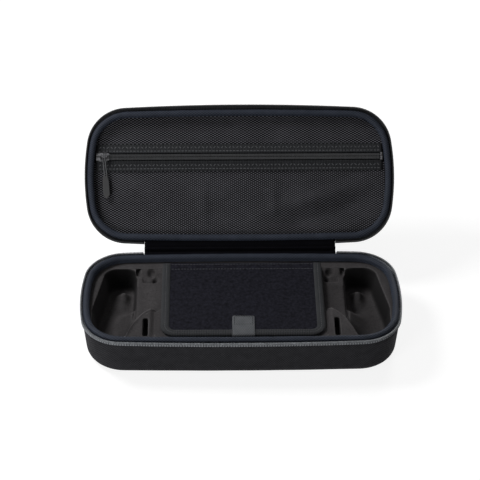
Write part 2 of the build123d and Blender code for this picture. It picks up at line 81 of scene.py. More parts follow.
@dataclass(frozen=True)
class CaseSizes:
    """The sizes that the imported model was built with."""

    length: float = 322.6
    depth: float = 142.0
    corner: float = 42.0
    short_bow: float = 12.0
    long_bow: float = 3.0
    tape_ends: float = 1.2
    tape_front: float = 3.6
    base_height: float = 48.0
    lid_height: float = 30.0
    wall: float = 5.5
    draft: float = 5.0
    edge_drop: float = 5.0
    hinge_y: float = 77.0
    lean: float = 43.2

    def placement(self, half: Half) -> Matrix:
        """The place of a half's rim plane, from its own millimetres to the model's metres.

        Args:
            half: the base or the lid.

        Returns:
            A matrix that turns, moves and scales a mesh drawn on the rim.
        """
        turn = radians(90 + self.lean)
        if half is Half.BASE:
            axes = Vector((-1, 0, 0)), Vector((0, 1, 0)), Vector((0, 0, -1))
            origin = Vector((0, 0, self.base_height))
        else:
            up, out = cos(turn), sin(turn)
            axes = Vector((1, 0, 0)), Vector((0, up, -out)), Vector((0, out, up))
            origin = Vector((0, self.hinge_y * (1 - up), self.base_height + self.hinge_y * out))
        turned = Matrix([list(axis) for axis in axes]).transposed().to_4x4()
        return Matrix.Scale(MM, 4) @ Matrix.Translation(origin) @ turned


SIZES = CaseSizes()


# Tracks: lines on a plane, made of straight runs and of turns to the right, along which a section
# is drawn out.


@dataclass(frozen=True)
class Leg:
    """A run of some length, or a turn to the right about a centre on the inner side."""

    length: float = 0.0
    radius: float = 0.0
    angle: float = 0.0

    def extent(self) -> float:
        """The leg's length on the track's own line."""
        return self.radius * self.angle if self.angle else self.length


@dataclass(frozen=True)
class Station:
    """A place on a track, with the direction of travel measured clockwise from +Y."""

    x: float
    y: float
    heading: float
    along: float

    def inward(self, inset: float) -> Vector:
        """The point that lies so far to the right of the track here."""
        return Vector((self.x + inset * cos(self.heading), self.y - inset * sin(self.heading), 0))


@dataclass(frozen=True)
class Track:
    """A line of legs from a start."""

    start: Pair
    heading: float
    legs: tuple[Leg, ...]
    closed: bool = False

    def total(self) -> float:
        """The track's whole length."""
        return sum(leg.extent() for leg in self.legs)

    def at(self, along: float) -> Station:
        """The station at a distance along the track.

        Args:
            along: the distance from the start.

        Returns:
            The station there.
        """
        x, y, heading, passed = *self.start, self.heading, 0.0
        for leg in self.legs:
            part = min(max(along - passed, 0.0), leg.extent())
            if leg.angle:
                centre = (x + leg.radius * cos(heading), y - leg.radius * sin(heading))
                heading += part / leg.radius
                x = centre[0] - leg.radius * cos(heading)
                y = centre[1] + leg.radius * sin(heading)
            else:
                x, y = x + part * sin(heading), y + part * cos(heading)
            passed += leg.extent()
            if along <= passed:
                break
        return Station(x, y, heading, along)

    def stations(self, pitch: float, margin: float = 0.0) -> list[Station]:
        """Stations at an even pitch, a margin away from an open track's ends.

        Args:
            pitch: the wished distance between two stations.
            margin: what stays free at each end.

        Returns:
            The stations in order.
        """
        room = self.total() - 2 * margin
        count = max(1, round(room / pitch))
        return [self.at(margin + room * (step + 0.5) / count) for step in range(count)]


@dataclass(frozen=True)
class BowedOutline:
    """A rounded rectangle whose sides bow out, all of it in arcs that meet smoothly."""

    length: float
    depth: float
    short_bow: float
    long_bow: float
    corner: float
    rounds: int = 12

    def long_radius(self) -> float:
        """Radius of the two long sides."""
        return ((self.length / 2) ** 2 + self.long_bow**2) / (2 * self.long_bow)

    def short_radius(self) -> float:
        """Radius of the two short sides."""
        return ((self.depth / 2) ** 2 + self.short_bow**2) / (2 * self.short_bow)

    def corner_centre(self) -> Pair:
        """Centre of the corner's arc at +X, +Y.

        Returns:
            Its X and Y.
        """
        x, y = self.length / 2 - self.corner, self.depth / 2 - self.corner
        flat, steep = self.long_radius(), self.short_radius()
        # Each round brings it nearer to where it touches both sides
        for _ in range(self.rounds):
            y = sqrt((flat - self.corner) ** 2 - x**2) - flat + self.depth / 2
            x = sqrt((steep - self.corner) ** 2 - y**2) - steep + self.length / 2
        return x, y

    def track(self, gap: float = 0.0) -> Track:
        """The outline as a track that runs clockwise from the middle of the back.

        Args:
            gap: half the width that stays open in the middle of the back.

        Returns:
            The track, closed where there is no gap.
        """
        x, y = self.corner_centre()
        long_half = atan2(x, y + self.long_radius() - self.depth / 2)
        short_half = atan2(y, x + self.short_radius() - self.length / 2)
        opening = asin(gap / self.long_radius())
        corner = Leg(radius=self.corner, angle=pi / 2 - long_half - short_half)
        side = Leg(radius=self.short_radius(), angle=2 * short_half)
        end = Leg(radius=self.long_radius(), angle=long_half - opening)
        front = Leg(radius=self.long_radius(), angle=2 * long_half)
        start_y = self.depth / 2 - self.long_radius() * (1 - cos(opening))
        legs = (end, corner, side, corner, front, corner, side, corner, end)
        return Track((gap, start_y), pi / 2 + opening, legs, closed=gap == 0)

    def reach(self, y: float, inset: float) -> float:
        """How far the outline, drawn in by inset, reaches to the side at a height y.

        Args:
            y: the height across the outline.
            inset: how far the outline is drawn in.

        Returns:
            Half the outline's length at that height.
        """
        middle_x, middle_y = self.corner_centre()
        turn = atan2(middle_y, middle_x + self.short_radius() - self.length / 2)
        if abs(y) <= middle_y + (self.corner - inset) * sin(turn):
            flank = self.short_radius() - inset
            return sqrt(flank**2 - y**2) - self.short_radius() + self.length / 2
        rounding = self.corner - inset
        return middle_x + sqrt(max(rounding**2 - (abs(y) - middle_y) ** 2, 0.0))


BODY_OUTLINE = BowedOutline(SIZES.length, SIZES.depth, SIZES.short_bow, SIZES.long_bow, SIZES.corner)
TAPE_OUTLINE = BowedOutline(
    SIZES.length + 2 * SIZES.tape_ends,
    SIZES.depth + 2 * SIZES.tape_front,
    SIZES.short_bow,
    SIZES.long_bow + SIZES.tape_front - SIZES.tape_ends,
    SIZES.corner,
)


# Finishes


def linear(hex_colour: str) -> tuple[float, float, float, float]:
    """An sRGB hex colour as the linear values that a shader takes.

    Args:
        hex_colour: such as "#2a2d33".

    Returns:
        Red, green, blue and an alpha of 1.
    """
    values = [int(hex_colour[i : i + 2], 16) / 255 for i in (1, 3, 5)]
    r, g, b = [v / 12.92 if v <= 0.04045 else ((v + 0.055) / 1.055) ** 2.4 for v in values]
    return r, g, b, 1.0


def add_node(
    tree: NodeTree, kind: str, settings: dict, links: dict, output: int | str = 0
) -> NodeSocket | None:
    """Adds a node with its settings and links.

    Args:
        tree: the material's node tree.
        kind: the node's type name.
        settings: properties by their lower-case name, and sockets' values by name or number.
        links: sockets of other nodes, by the name or number of the input that they feed.
        output: the name or number of the output that is wanted.

    Returns:
        That output's socket, or None for a node without outputs.
    """
    node = tree.nodes.new(kind)
    for key, value in settings.items():
        if isinstance(key, str) and key[0].islower():
            setattr(node, key, value)
        else:
            node.inputs[key].default_value = value
    for key, socket in links.items():
        tree.links.new(socket, node.inputs[key])
    return node.outputs[output] if node.outputs else None


def empty_material(name: str) -> Material:
    """A new material with nothing in its node tree.

    Args:
        name: the material's name.

    Returns:
        The material.
    """
    material = bpy.data.materials.new(name)
    material.use_nodes = True
    material.node_tree.nodes.clear()
    return material


@dataclass(frozen=True)
class Finish:
    """A surface with two colours, the second one on its raised places or on paler patches of wear and
    painted highlight.
    """

    name: str
    dark: str
    light: str

    def coordinates(self) -> str:
        """Which coordinates the pattern is laid on."""
        return "Object"

    def surface(self, tree: NodeTree, place: NodeSocket) -> tuple[dict, dict]:
        """Adds the nodes of the pattern.

        Args:
            tree: the material's node tree.
            place: the coordinates that the pattern follows, in metres.

        Returns:
            The shader's own settings, and the sockets that feed it.
        """
        raise NotImplementedError

    def build(self) -> Material:
        """Makes the material.

        Returns:
            The material, with colour, roughness and relief from its nodes.
        """
        material = empty_material(self.name)
        tree = material.node_tree
        place = add_node(tree, "ShaderNodeTexCoord", {}, {}, self.coordinates())
        settings, links = self.surface(tree, place)
        shader = add_node(tree, "ShaderNodeBsdfPrincipled", settings, links)
        add_node(tree, "ShaderNodeOutputMaterial", {}, {"Surface": shader})
        return material


@dataclass(frozen=True)
class ClothFinish(Finish):
    """A cloth: its two thread colours, its weave and the real size of the weave."""

    weave: Weave
    pitch_mm: float
    relief_mm: float = 0.15
    roughness: float = 0.8
    sheen: float = 0.3
    gloss: float = 0.08
    mottle: float = 0.15
    mottle_mm: float = 9.0
    follows_length: bool = False
    # The colours of painted shade on steep faces and of a painted highlight along rounded edges
    steep: str = ""
    edge_highlight: str = ""

    def coordinates(self) -> str:
        """A pattern that follows a strip's length is laid on its map of lengths."""
        return "UV" if self.follows_length else "Object"

    def weave_height(self, tree: NodeTree, place: NodeSocket) -> NodeSocket:
        """Adds the nodes of the weave.

        Args:
            tree: the material's node tree.
            place: the coordinates that the weave follows, in metres.

        Returns:
            The height of the weave, from 0 between the threads to 1 on top of them.
        """
        per_metre = 1 / (self.pitch_mm * MM)
        if self.weave in (Weave.LOOPED, Weave.FLOCKED):
            tufts = {"feature": "SMOOTH_F1", "Scale": per_metre, "Randomness": 1.0}
            away = add_node(tree, "ShaderNodeTexVoronoi", tufts, {"Vector": place}, "Distance")
            return add_node(tree, "ShaderNodeMath", {"operation": "SUBTRACT", 0: 1.0}, {1: away})
        turns = {"operation": "SCALE", "Scale": 2 * pi * per_metre}
        scaled = add_node(tree, "ShaderNodeVectorMath", turns, {0: place})
        if self.weave is Weave.RIBBED:
            along = add_node(tree, "ShaderNodeSeparateXYZ", {}, {0: scaled}, "X")
            wave = add_node(tree, "ShaderNodeMath", {"operation": "SINE"}, {0: along})
            halved = {"operation": "MULTIPLY_ADD", 1: 0.5, 2: 0.5}
            return add_node(tree, "ShaderNodeMath", halved, {0: wave})
        # Two crossing sets of threads, square in the plain weave and slanting in the others
        headings = {Weave.OXFORD: (0, 90), Weave.NET: (52, 128)}.get(self.weave, (45, 135))
        waves = []
        for heading in map(radians, headings):
            direction = (cos(heading), sin(heading), 0.0 if self.follows_length else 0.7)
            dotted = {"operation": "DOT_PRODUCT", 1: direction}
            across = add_node(tree, "ShaderNodeVectorMath", dotted, {0: scaled}, "Value")
            waves.append(add_node(tree, "ShaderNodeMath", {"operation": "COSINE"}, {0: across}))
        kind = "MULTIPLY" if self.weave is Weave.OXFORD else "ADD"
        crossed = add_node(tree, "ShaderNodeMath", {"operation": kind}, dict(enumerate(waves)))
        # A net is mostly holes, so only the crests of its waves are thread
        low, high = {Weave.OXFORD: (-1.0, 1.0), Weave.NET: (0.1, 1.4)}.get(self.weave, (-2.0, 2.0))
        return add_node(tree, "ShaderNodeMapRange", {"From Min": low, "From Max": high}, {0: crossed})

    def surface(self, tree: NodeTree, place: NodeSocket) -> tuple[dict, dict]:
        """Adds the nodes of the cloth's colour and relief.

        Args:
            tree: the material's node tree.
            place: the coordinates that the weave follows, in metres.

        Returns:
            The shader's own settings, and the sockets that feed it.
        """
        height = self.weave_height(tree, place)
        swirls = {"Scale": 1 / (self.mottle_mm * MM), "Detail": 4.0, "Roughness": 0.6}
        patches = add_node(tree, "ShaderNodeTexNoise", swirls, {"Vector": place})
        spread = {"From Min": 0.3, "From Max": 0.7, "To Min": -self.mottle, "To Max": self.mottle}
        uneven = add_node(tree, "ShaderNodeMapRange", spread, {0: patches})
        added = {"operation": "ADD", "use_clamp": True}
        share = add_node(tree, "ShaderNodeMath", added, {0: height, 1: uneven})
        threads = {"data_type": "RGBA", 6: linear(self.dark), 7: linear(self.light)}
        colour = add_node(tree, "ShaderNodeMix", threads, {0: share}, 2)
        if self.steep:
            # Painted shade: the colour turns near black as the surface turns steep, standing in for the
            # shade in the wells
            facing = add_node(tree, "ShaderNodeTexCoord", {}, {}, "Normal")
            upward = add_node(tree, "ShaderNodeSeparateXYZ", {}, {0: facing}, "Z")
            level = add_node(tree, "ShaderNodeMapRange", {"From Min": 0.1, "From Max": 0.88}, {0: upward})
            deep = {"data_type": "RGBA", 6: linear(self.steep)}
            colour = add_node(tree, "ShaderNodeMix", deep, {0: level, 7: colour}, 2)
        if self.edge_highlight:
            # Painted highlight: rounded convex edges are coloured paler, standing in for the light that
            # they catch
            edge = add_node(tree, "ShaderNodeNewGeometry", {}, {}, "Pointiness")
            rounded = {"From Min": 0.52, "From Max": 0.6, "To Max": 0.9}
            edge_highlight_share = add_node(tree, "ShaderNodeMapRange", rounded, {0: edge})
            pale = {"data_type": "RGBA", 7: linear(self.edge_highlight)}
            colour = add_node(tree, "ShaderNodeMix", pale, {0: edge_highlight_share, 6: colour}, 2)
        bump = {"Strength": 0.8, "Distance": self.relief_mm * MM}
        relief = add_node(tree, "ShaderNodeBump", bump, {"Height": height})
        settings = {
            "Roughness": self.roughness,
            "Sheen Weight": self.sheen,
            "Sheen Roughness": 0.5,
            "Sheen Tint": linear(self.light),
            "Specular IOR Level": self.gloss,
        }
        return settings, {"Base Color": colour, "Normal": relief}


@dataclass(frozen=True)
class HardFinish(Finish):
    """A moulded or plated surface, with a fine grain and paler patches, which are rubbed wear and, on the
    plating, also painted highlights.
    """

    roughness: float = 0.5
    grain_mm: float = 0.4
    relief_mm: float = 0.02
    patch_mm: float = 4.0
    coat: float = 0.0
    metallic: float = 0.0

    def surface(self, tree: NodeTree, place: NodeSocket) -> tuple[dict, dict]:
        """Adds the nodes of the surface's paler patches, which are wear and painted highlights, and of its
        grain.

        Args:
            tree: the material's node tree.
            place: the coordinates that the pattern follows, in metres.

        Returns:
            The shader's own settings, and the sockets that feed it.
        """
        fine = {"Scale": 1 / (self.grain_mm * MM), "Detail": 3.0}
        grain = add_node(tree, "ShaderNodeTexNoise", fine, {"Vector": place})
        swirls = {"Scale": 1 / (self.patch_mm * MM), "Detail": 5.0, "Roughness": 0.7}
        patches = add_node(tree, "ShaderNodeTexNoise", swirls, {"Vector": place})
        # Paler patches: rubbed wear, and on the plating also painted highlights
        wear_and_highlight = add_node(tree, "ShaderNodeMapRange", {"From Min": 0.45, "From Max": 0.75}, {0: patches})
        tones = {"data_type": "RGBA", 6: linear(self.dark), 7: linear(self.light)}
        colour = add_node(tree, "ShaderNodeMix", tones, {0: wear_and_highlight}, 2)
        spread = {"To Min": self.roughness - 0.08, "To Max": self.roughness + 0.1}
        rough = add_node(tree, "ShaderNodeMapRange", spread, {0: wear_and_highlight})
        bump = {"Strength": 0.6, "Distance": self.relief_mm * MM}
        relief = add_node(tree, "ShaderNodeBump", bump, {"Height": grain})
        settings = {"Metallic": self.metallic, "Coat Weight": self.coat}
        return settings, {"Base Color": colour, "Roughness": rough, "Normal": relief}


# Polyester oxford cloth over moulded foam: black and matt, with a fine square weave of about
# 0.5 mm, drawn at 2.6 mm so that it shows.
SHELL_COVER = ClothFinish(
    "oxford_cover", "#111113", "#38383b", Weave.OXFORD, 2.6, relief_mm=0.3, follows_length=True
)
# The same cloth on the strip of the hinge, darkened with painted shade for the fold's shadow.
SHADED_STRIP_COVER = ClothFinish("oxford_strip_painted_shade", "#050507", "#0e0e12", Weave.OXFORD, 2.4, sheen=0.0, gloss=0.02)
# Knitted polyester binding over a foam roll: smooth and slightly blue, with a soft highlight.
ROLL_KNIT = ClothFinish(
    "knitted_binding",
    "#14171d",
    "#333843",
    Weave.KNITTED,
    2.4,
    relief_mm=0.2,
    roughness=0.6,
    sheen=0.5,
    gloss=0.12,
)
# Woven polyester zipper tape: paler than the binding, with ribs across it.
ZIPPER_TAPE = ClothFinish(
    "ribbed_zipper_tape", "#4a4c50", "#95989c", Weave.RIBBED, 2.6, relief_mm=0.25, follows_length=True
)
# The same tape, darkened with painted shade, on the lid's half, on the pocket and on the zipper's ends.
SHADED_ZIPPER_TAPE = ClothFinish(
    "ribbed_tape_painted_shade",
    "#1c1d1f",
    "#333436",
    Weave.RIBBED,
    1.7,
    relief_mm=0.15,
    mottle=0.3,
    mottle_mm=4.0,
    follows_length=True,
)
# Polyester mesh with threads about 1 mm apart, drawn at 2.6 mm along each slant so that they show,
# and its holes painted near black: the dark lining behind, darkened further with painted shade.
NET = ClothFinish(
    "slanted_net",
    "#020203",
    "#66666c",
    Weave.NET,
    2.6,
    relief_mm=0.3,
    roughness=0.7,
    mottle=0.07,
    mottle_mm=40.0,
)
# Brushed loop cloth, navy to black, with small loops that catch the light.
LOOP_CLOTH = ClothFinish(
    "brushed_loop_cloth",
    "#07070b",
    "#24242c",
    Weave.LOOPED,
    2.4,
    relief_mm=0.5,
    roughness=0.9,
    mottle=0.3,
    mottle_mm=4.0,
)
# Nylon flock on moulded foam: a very short pile, brown-grey where it is seen flat on, with painted shade
# that turns it nearly black on steep walls and a painted highlight that makes it pale along rounded edges.
FLOCK = ClothFinish(
    "nylon_flock",
    "#383637",
    "#474546",
    Weave.FLOCKED,
    1.6,
    relief_mm=0.05,
    roughness=0.95,
    sheen=0.6,
    mottle=0.2,
    steep="#060607",
    edge_highlight="#706e6f",
)
# Grosgrain ribbon round the flap: grey, with fine ribs across it.
GROSGRAIN = ClothFinish(
    "grosgrain_ribbon", "#2a2b2d", "#404143", Weave.RIBBED, 1.7, relief_mm=0.15, follows_length=True
)
# Woven webbing of the pull tab, the palest cloth on the case.
WEBBING = ClothFinish("woven_webbing", "#46484b", "#6e7073", Weave.OXFORD, 2.4, relief_mm=0.2)
# Spun polyester sewing thread.
THREAD = ClothFinish("sewing_thread", "#3e3f41", "#68696c", Weave.BRAIDED, 0.5, relief_mm=0.05)
# The same thread, painted black as painted shade for the grooves where it pulls down into the tab.
SHADED_THREAD = ClothFinish("sewing_thread_painted_shade", "#141416", "#242527", Weave.BRAIDED, 0.5, relief_mm=0.05)
# Braided polyester cord of the pulls.
CORD = ClothFinish("braided_cord", "#2a2b2d", "#6a6b6d", Weave.BRAIDED, 0.9, relief_mm=0.1)
# Nylon zipper coil: satin, with paler patches, grey on the base; on the lid and the pocket the same coil
# is darkened to black with painted shade.
NYLON_COIL = HardFinish("nylon_coil", "#5e6165", "#8e9195", roughness=0.45)
SHADED_COIL = HardFinish("nylon_coil_painted_shade", "#141517", "#26272a", roughness=0.6)
# Gunmetal plating on die-cast zinc, with bright patches that are partly rubbed wear and partly painted
# highlights.
GUNMETAL = HardFinish("gunmetal_plated_zinc", "#1a1a1c", "#88888c", roughness=0.26, coat=0.3, metallic=0.9)
# Soft moulded thermoplastic rubber.
RUBBER = HardFinish("moulded_rubber", "#0e0e10", "#1c1c1e", roughness=0.6)


# Making and placing meshes


def of_kind(made: list, kind: type) -> list:
    """Those of an operator's verts, edges and faces that are of one kind."""
    return [item for item in made if isinstance(item, kind)]


def ribbon(
    track: Track, section: list[Pair], pitch: float, ring: bool = True
) -> BMesh:
    """Draws a section out along a track.

    Args:
        track: the line that the section follows.
        section: points as (distance to the right of the track, drop below the rim).
        pitch: the wished length of a step.
        ring: True if the section's last point joins its first.

    Returns:
        A bmesh with a UV map of lengths along and across, closed at an open track's ends.
    """
    bm = bmesh.new()
    along = bm.verts.layers.float.new("along")
    across = bm.verts.layers.float.new("across")
    here = track.at(0.0)
    passed = 0.0
    verts = []
    for number, (inset, drop) in enumerate(section):
        vert = bm.verts.new(here.inward(inset) + Vector((0, 0, drop)))
        if number:
            passed += hypot(inset - section[number - 1][0], drop - section[number - 1][1])
        vert[across] = passed
        verts.append(vert)
    girth = passed + hypot(section[0][0] - section[-1][0], section[0][1] - section[-1][1])
    pairs = list(zip(verts, verts[1:])) + ([(verts[-1], verts[0])] if ring else [])
    first = [bm.edges.new(pair) for pair in pairs]
    edges, travelled = first, 0.0
    for leg in track.legs:
        here = track.at(travelled)
        steps = max(1, round(leg.extent() / pitch))
        for step in range(steps):
            if leg.angle:
                made = bmesh.ops.spin(
                    bm,
                    geom=[*{vert for edge in edges for vert in edge.verts}, *edges],
                    cent=here.inward(leg.radius),
                    axis=(0, 0, 1),
                    angle=-leg.angle / steps,
                    steps=1,
                    use_merge=False,
                )["geom_last"]
            else:
                made = bmesh.ops.extrude_edge_only(bm, edges=edges)["geom"]
                shift = Vector((sin(here.heading), cos(here.heading), 0)) * leg.length / steps
                bmesh.ops.translate(bm, verts=of_kind(made, BMVert), vec=shift)
            for vert in of_kind(made, BMVert):
                vert[along] = travelled + leg.extent() * (step + 1) / steps
            free = [edge for edge in of_kind(made, BMEdge) if len(edge.link_faces) < 2]
            edges = [edge for edge in free if edge.verts[0][along] == edge.verts[1][along]]
        travelled += leg.extent()
    if track.closed:
        bmesh.ops.remove_doubles(bm, verts=bm.verts, dist=0.02)
    elif ring:
        bmesh.ops.contextual_create(bm, geom=first)
        bmesh.ops.contextual_create(bm, geom=edges)
    lengths = bm.loops.layers.uv.new("Lengths")
    total = track.total()
    for face in bm.faces:
        far = max(vert[along] for vert in face.verts)
        wide = max(vert[across] for vert in face.verts)
        for loop in face.loops:
            s, t = loop.vert[along], loop.vert[across]
            s += total if track.closed and far - s > total / 2 else 0.0
            t += girth if ring and wide - t > girth / 2 else 0.0
            loop[lengths].uv = (s * MM, t * MM)
    return bm


def lay_flat_map(bm: BMesh, faces: Iterable[BMFace]) -> None:
    """Gives faces a UV map of their plain X and Y.

    Args:
        bm: the mesh that holds them.
        faces: the faces to map.
    """
    lengths = bm.loops.layers.uv.verify()
    for face in faces:
        for loop in face.loops:
            loop[lengths].uv = (loop.vert.co.x * MM, loop.vert.co.y * MM)


def pucker(bm: BMesh, height: float, size: float, seed: float) -> None:
    """Moves the surface in and out a little, as stuffed or stretched cloth is never quite even.

    Args:
        bm: the mesh, in millimetres.
        height: the largest move.
        size: the size of the swellings.
        seed: moves the pattern to another place.
    """
    bm.normal_update()
    for vert in bm.verts:
        place = vert.co / size + Vector((seed, seed * 0.7, 0))
        vert.co += vert.normal * height * noise.noise(place)


def blocks(places: list[Matrix], size: Triple, bevel: float) -> BMesh:
    """Many small rounded blocks in one mesh, such as coil turns or stitches.

    Args:
        places: where each block's middle is, and how it is turned.
        size: the block's length, width and height.
        bevel: how much its edges are taken off.

    Returns:
        A bmesh with all the blocks.
    """
    bm = bmesh.new()
    for place in places:
        bmesh.ops.create_cube(bm, size=1.0, matrix=place @ Matrix.Diagonal((*size, 1.0)))
    bmesh.ops.bevel(
        bm,
        geom=list(bm.edges),
        offset=bevel,
        affect="EDGES",
        segments=1,
        profile=0.5,
        material=-1,
        clamp_overlap=True,
    )
    return bm


def draw_out(bm: BMesh, length: float, steps: int) -> None:
    """Draws a mesh's wire out along +X into a strip.

    Args:
        bm: a mesh that holds one line of edges.
        length: how far it is drawn out.
        steps: in how many steps.
    """
    edges = list(bm.edges)
    for _ in range(steps):
        made = bmesh.ops.extrude_edge_only(bm, edges=edges)["geom"]
        moved = set(of_kind(made, BMVert))
        bmesh.ops.translate(bm, verts=list(moved), vec=(length / steps, 0, 0))
        edges = [edge for edge in of_kind(made, BMEdge) if moved.issuperset(edge.verts)]


def wire(points: Iterable[Vector | Triple]) -> tuple[BMesh, list[BMVert]]:
    """Joins points with a line of edges.

    Args:
        points: the points in order.

    Returns:
        A bmesh with the line, and its vertices in order.
    """
    bm = bmesh.new()
    verts = [bm.verts.new(point) for point in points]
    for pair in zip(verts, verts[1:]):
        bm.edges.new(pair)
    return bm, verts


def thicken(bm: BMesh, thickness: float) -> None:
    """Gives a strip of faces a thickness."""
    bmesh.ops.recalc_face_normals(bm, faces=bm.faces)
    bmesh.ops.solidify(bm, geom=list(bm.faces), thickness=thickness)


def straight(x: float, y: float, length: float) -> Track:
    """A track that runs straight along +X from a point."""
    return Track((x, y), pi / 2, (Leg(length=length),))


def spaced(
    track: Track, pitch: float, margin: float, inset: float, drop: float, lean: float = 0.0
) -> list[Matrix]:
    """Places at an even pitch along a track, for small blocks such as coil turns or stitches.

    Args:
        track: the line.
        pitch: the distance between two places.
        margin: what stays free at each end.
        inset: how far they lie to the right of the track.
        drop: how far they lie along Z.
        lean: how far they turn to one side and the other by turns, as in a zigzag.

    Returns:
        The places, with X along the track and Y across it.
    """
    places = []
    for number, station in enumerate(track.stations(pitch, margin)):
        spot = station.inward(inset) + Vector((0, 0, drop))
        turn = pi / 2 - station.heading + (lean if number % 2 else -lean)
        places.append(Matrix.Translation(spot) @ Matrix.Rotation(turn, 4, "Z"))
    return places


def linked(name: str, data: ID) -> Object:
    """Makes an object and puts it into the scene.

    Args:
        name: the object's name.
        data: its mesh, curve, lamp or camera.

    Returns:
        The object.
    """
    thing = bpy.data.objects.new(name, data)
    bpy.context.scene.collection.objects.link(thing)
    return thing


def mesh_object(name: str, bm: BMesh) -> Object:
    """Puts a bmesh into the scene as an object.

    Args:
        name: the name of the object and its mesh.
        bm: the bmesh; it is freed.

    Returns:
        The object.
    """
    mesh = bpy.data.meshes.new(name)
    bm.to_mesh(mesh)
    bm.free()
    return linked(name, mesh)
@dataclass
class Dresser:
    """Turns meshes into pieces that ride on one body, and keeps one material for each finish."""

    body: str | None
    place: Matrix = field(default_factory=lambda: Matrix.Scale(MM, 4))
    materials: ClassVar[dict[str, Material]] = {}

    @classmethod
    def put_on(cls, piece: Object, finish: Finish) -> None:
        """Gives a piece a finish, whose material is made the first time it is asked for.

        Args:
            piece: the object.
            finish: its finish.
        """
        if finish.name not in cls.materials:
            cls.materials[finish.name] = finish.build()
        piece.data.materials.clear()
        piece.data.materials.append(cls.materials[finish.name])

    @classmethod
    def dress_node(cls, node: str, finish: Finish) -> None:
        """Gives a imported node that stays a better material."""
        cls.put_on(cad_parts[node], finish)
        LOG.info("%s keeps its packed shape", node)

    def attach(self, piece: Object, finish: Finish, slot: str, node: str = "") -> None:
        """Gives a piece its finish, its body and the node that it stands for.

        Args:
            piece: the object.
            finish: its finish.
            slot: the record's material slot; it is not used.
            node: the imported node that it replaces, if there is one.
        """
        self.put_on(piece, finish)
        if self.body:
            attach(piece, self.body)
        if node:
            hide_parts(node)
        LOG.info("%s rides on %s", piece.name, self.body or "two bodies")

    def piece(
        self, name: str, bm: BMesh, finish: Finish, slot: str, node: str = "", smooth: bool = True
    ) -> Object:
        """Makes a piece from a mesh.

        Args:
            name: the piece's name.
            bm: the mesh, in the millimetres of the dresser's place; it is freed.
            finish: its finish.
            slot: the record's material slot.
            node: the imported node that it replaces, if there is one.
            smooth: True for smooth shading.

        Returns:
            The piece.
        """
        bmesh.ops.recalc_face_normals(bm, faces=bm.faces)
        bmesh.ops.transform(bm, matrix=self.place, verts=bm.verts)
        piece = mesh_object(name, bm)
        if smooth:
            piece.data.shade_smooth()
        self.attach(piece, finish, slot, node)
        return piece


def arc_points(
    centre: Pair, radius: float, start: float, end: float, count: int
) -> list[Pair]:
    """Points of an arc in a section.

    Args:
        centre: its middle.
        radius: its radius.
        start: the first point's direction, in degrees.
        end: the last point's direction.
        count: how many steps there are between them.

    Returns:
        The points in order.
    """
    turns = [radians(start + (end - start) * step / count) for step in range(count + 1)]
    return [(centre[0] + radius * cos(turn), centre[1] + radius * sin(turn)) for turn in turns]


